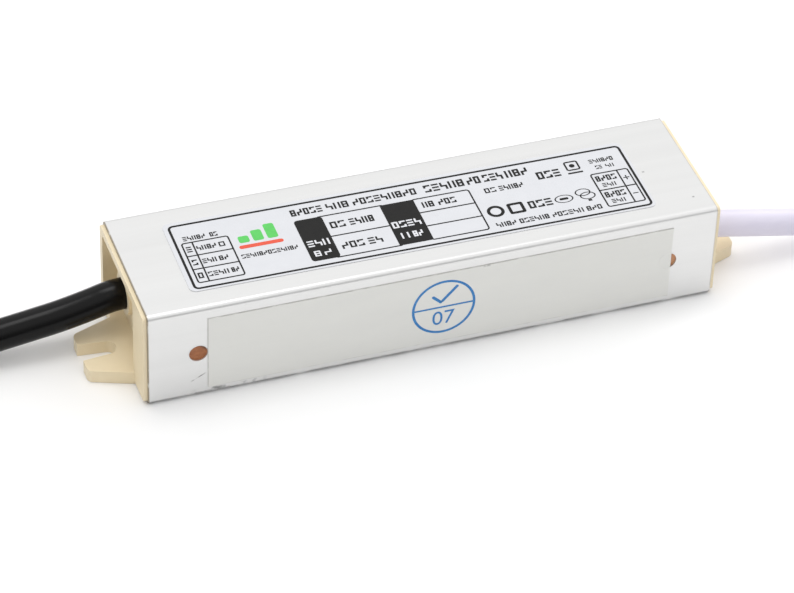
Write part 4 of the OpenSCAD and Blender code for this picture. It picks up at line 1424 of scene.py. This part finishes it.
@dataclass
class Lead:
    """A lead that leaves one cap: sheath, stripped cores and twisted tinned ends."""

    end: End
    name: str
    slot: str
    diameter: float
    route: Sequence[Triple]
    cores: dict[str, tuple[str, Sequence[Triple]]]
    length: float = LEAD_L
    exit_point: Triple = (1.4, LEAD_Y, LEAD_Z)
    curve_steps: int = 8
    core_d: float = 2.2
    tip_d: float = 1.2
    tip_l: float = 6.0
    tip_slot: str = "tinned_wire"
    tip_angle: float = 50.0
    lobes: int = 7
    lobe_points: int = 4
    groove: float = 0.72
    half_turns: float = 1.4
    twist_steps: int = 24
    tube_half: float = field(default_factory=lambda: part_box("housing")[1].x)

    def at(self, point: Sequence[float]) -> Vector:
        """Brings a point from the end's own drawing, in millimetres, to the part."""
        drawn = metres(point) - Vector((self.tube_half, 0.0, 0.0))
        return Matrix.Rotation(math.pi * self.end.value, 3, "Z") @ drawn

    def build(self) -> list[bpy.types.Object]:
        """Returns:
            The sheath and the pieces on it.
        """
        sheath = self.tube(self.name + "_sheath", self.route, self.diameter, self.slot)
        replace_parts(sheath, self.name + "_cord")
        pieces = []
        for core, (slot, route) in self.cores.items():
            piece = self.tube(f"{self.name}_{core}_core", route, self.core_d, slot)
            pieces.append(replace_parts(piece, f"{self.name}_{core}_end"))
        pieces.append(self.tips())
        self.at(self.exit_point)
        return [sheath, *pieces]

    def tube(self, name: str, route: Sequence[Triple], diameter: float, slot: str) -> bpy.types.Object:
        """Draws a round tube along a route.

        Args:
            name: the piece's name.
            route: its points in the end's own drawing.
            diameter: in millimetres.
            slot: the record's material slot.

        Returns:
            The curve's piece.
        """
        curve = bpy.data.curves.new(name, "CURVE")
        curve.dimensions = "3D"
        curve.bevel_depth = diameter / 2 * MM
        curve.bevel_resolution = self.curve_steps
        curve.resolution_u = self.curve_steps
        curve.use_fill_caps = True
        spline = curve.splines.new("BEZIER")
        spline.bezier_points.add(len(route) - 1)
        for knot, point in zip(spline.bezier_points, route):
            knot.co = self.at(point)
            knot.handle_left_type = "AUTO"
            knot.handle_right_type = "AUTO"
        return PieceMaker.register(bpy.data.objects.new(name, curve), SLOT_FINISHES[slot], slot)

    def tips(self) -> bpy.types.Object:
        """Twists the tinned strands at the cores' ends.

        Returns:
            One piece with every tip of this lead.
        """
        bm = bmesh.new()
        for _, route in self.cores.values():
            self.twist_tip(bm, self.at(route[-1]))
        bmesh.ops.recalc_face_normals(bm, faces=bm.faces)
        finish = SLOT_FINISHES[self.tip_slot]
        made = PieceMaker.from_bmesh(self.name + "_tips", bm, finish, self.tip_slot, self.tip_angle)
        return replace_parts(made, self.name + "_core_tips")

    def twist_tip(self, bm: bmesh.types.BMesh, start: Vector) -> None:
        """Twists one tinned end.

        Args:
            bm: the geometry of this lead's tips.
            start: the middle of the core's cut end.
        """
        along = (self.at((1.0, 0.0, 0.0)) - self.at((0.0, 0.0, 0.0))).normalized()
        turn = along.to_track_quat("Z", "Y").to_matrix().to_4x4()
        ring = bmesh.ops.create_circle(
            bm, cap_ends=True, segments=self.lobe_points * self.lobes, radius=self.tip_d / 2 * MM,
            matrix=Matrix.Translation(start) @ turn,
        )["verts"]
        for vert in ring[:: self.lobe_points]:
            vert.co = start + (vert.co - start) * self.groove
        face = next(iter(ring[0].link_faces))
        step = along * (self.tip_l * MM / self.twist_steps)
        spin = Matrix.Rotation(self.half_turns * math.pi / self.twist_steps, 3, along)
        for _ in range(self.twist_steps):
            made = bmesh.ops.extrude_face_region(bm, geom=[face])["geom"]
            face = next(item for item in made if isinstance(item, bmesh.types.BMFace))
            bmesh.ops.translate(bm, verts=face.verts, vec=step)
            bmesh.ops.rotate(bm, verts=face.verts, cent=face.calc_center_median(), matrix=spin)


def input_lead() -> Lead:
    """Describes the black mains lead with its three cores.

    Returns:
        The lead.
    """
    route = lead_route(INPUT_DROP, turn_x=-80.0, diameter=INPUT_D, side=-1, back=4.0)
    cores = {
        "live": ("brown_core", core_route(route, MIDDLE_CORE, 1)),
        "neutral": ("blue_core", core_route(route, LOW_CORE, -1)),
        "earth": ("earth_core", core_route(route, LOW_CORE, 1)),
    }
    return Lead(End.INPUT, "input", "black_sheath", INPUT_D, route, cores)


def output_lead() -> Lead:
    """Describes the white output lead with its two cores.

    Returns:
        The lead.
    """
    route = lead_route(OUTPUT_DROP, turn_x=-72.0, diameter=OUTPUT_D, side=1, back=19.5)
    cores = {
        "plus": ("brown_core", core_route(route, LEVEL_CORE, -1)),
        "minus": ("blue_core", core_route(route, LEVEL_CORE, 1)),
    }
    return Lead(End.OUTPUT, "output", "white_sheath", OUTPUT_D, route, cores)


class InnerParts:
    """The solids that stay as they are: each takes the finish of its slot in the record."""

    @staticmethod
    def dress() -> None:
        """Gives every solid its procedural finish."""
        for part in frame["record"]["subparts"]:
            solid = frame["nodes"][part["node"]]
            finish = SLOT_FINISHES[part["material_slot"]]
            solid.data.materials.clear()
            solid.data.materials.append(finish.material())
            log.info("solid %s with finish %s", part["node"], finish.name)


@dataclass(frozen=True)
class Lamp:
    """A soft square lamp: its place, aim and side in metres, and its power in watts."""

    name: str
    place: Triple
    aim: Triple
    side: float
    power: float

    def hang(self) -> None:
        """Hangs the lamp and aims it."""
        data = bpy.data.lights.new(self.name, "AREA")
        data.size = self.side
        data.energy = self.power
        lamp = bpy.data.objects.new(self.name, data)
        towards = Vector(self.aim) - Vector(self.place)
        turn = towards.to_track_quat("-Z", "Y").to_matrix().to_4x4()
        lamp.matrix_world = Matrix.Translation(self.place) @ turn
        bpy.context.scene.collection.objects.link(lamp)


@dataclass
class Studio:
    """Pale floor, soft light and the photograph's viewpoint."""

    eye: Triple = (-217.684, -581.158, 516.133)
    azimuth: float = -20.2993
    elevation: float = 39.7141
    roll: float = 2.221
    lens: float = 170.0
    sensor: float = 36.0
    clip: Pair = (0.01, 20.0)
    floor_half: float = 4.0
    floor_drop: float = 0.05
    floor_steps: int = 8
    sky: tuple[Pair, Pair] = ((0.0, 0.40), (0.65, 1.0))
    front: Triple = (-0.347, -0.938, 0.0)
    front_reach: Pair = (0.6, 0.97)
    front_light: Pair = (1.1, 0.33)
    lamps: tuple[Lamp, ...] = (
        Lamp("overhead", (-0.05, 0.15, 1.1), (0.0, 0.0, 0.0), 0.45, 2.3),
        Lamp("front_fill", (-0.5, -1.0, 0.7), (0.0, 0.0, 0.0), 0.7, 0.5),
        Lamp("right_rim", (0.9, 0.5, 0.45), (0.06, 0.0, 0.0), 0.5, 2.6),
    )

    def build(self) -> None:
        """Sets up the camera, the floor and the light."""
        self.camera()
        self.floor()
        self.world()
        for lamp in self.lamps:
            lamp.hang()
        bpy.context.scene.view_settings.view_transform = "Standard"

    def camera(self) -> None:
        """Places the camera."""
        az, el, roll = (math.radians(angle) for angle in (self.azimuth, self.elevation, self.roll))
        back = Vector((math.sin(az) * math.cos(el), -math.cos(az) * math.cos(el), math.sin(el)))
        level = Vector((0.0, 0.0, 1.0)).cross(back).normalized()
        upright = back.cross(level)
        right = level * math.cos(roll) + upright * math.sin(roll)
        up = upright * math.cos(roll) - level * math.sin(roll)
        turn = Matrix((right, up, back)).transposed().to_4x4()
        data = bpy.data.cameras.new("viewpoint")
        data.lens = self.lens
        data.sensor_width = self.sensor
        data.sensor_fit = "HORIZONTAL"
        data.clip_start, data.clip_end = self.clip
        camera = bpy.data.objects.new("viewpoint", data)
        camera.matrix_world = Matrix.Translation(metres(self.eye)) @ turn
        bpy.context.scene.collection.objects.link(camera)
        bpy.context.scene.camera = camera

    def floor(self) -> None:
        """Lays the floor."""
        bm = bmesh.new()
        place = Matrix.Translation((0.0, 0.0, -self.floor_drop * MM))
        steps = self.floor_steps
        bmesh.ops.create_grid(bm, x_segments=steps, y_segments=steps, size=self.floor_half, matrix=place)
        mesh = bpy.data.meshes.new("floor")
        bm.to_mesh(mesh)
        bm.free()
        floor = bpy.data.objects.new("floor", mesh)
        mesh.materials.append(FLOOR.material())
        bpy.context.scene.collection.objects.link(floor)

    def world(self) -> None:
        """Draws the surroundings: bright above, dim round the horizon and dimmer still in front."""
        world = bpy.data.worlds.new("studio")
        world.use_nodes = True
        sheet = NodeSheet(world.node_tree)
        place = sheet.add("ShaderNodeTexCoord").outputs["Generated"]
        height = sheet.add("ShaderNodeSeparateXYZ", None, {0: place}).outputs[2]
        ramp = sheet.add("ShaderNodeValToRGB", None, {"Fac": height})
        for stop, (position, level) in zip(ramp.color_ramp.elements, self.sky):
            stop.position = position
            stop.color = (level, level, level, 1.0)
        shade = sheet.spread(sheet.along(place, self.front), *self.front_light, *self.front_reach)
        light = sheet.add("ShaderNodeBackground", None, {"Color": ramp.outputs[0], "Strength": shade})
        sheet.add("ShaderNodeOutputWorld", None, {"Surface": light.outputs[0]})
        bpy.context.scene.world = world


def main() -> None:
    """Builds the part's looks in order."""
    logging.basicConfig(level=logging.INFO, format="%(message)s")
    Studio().build()
    InnerParts.dress()
    tube = Housing()
    tube.build()
    EndCap("input_end_cap", "input_cap").build()
    EndCap("output_end_cap", "output_cap").build()
    ResinFaces().build(tube)
    RatingLabel().build()
    SideStamp().build()
    input_lead().build()
    output_lead().build()


if __name__ == "__main__":
    main()
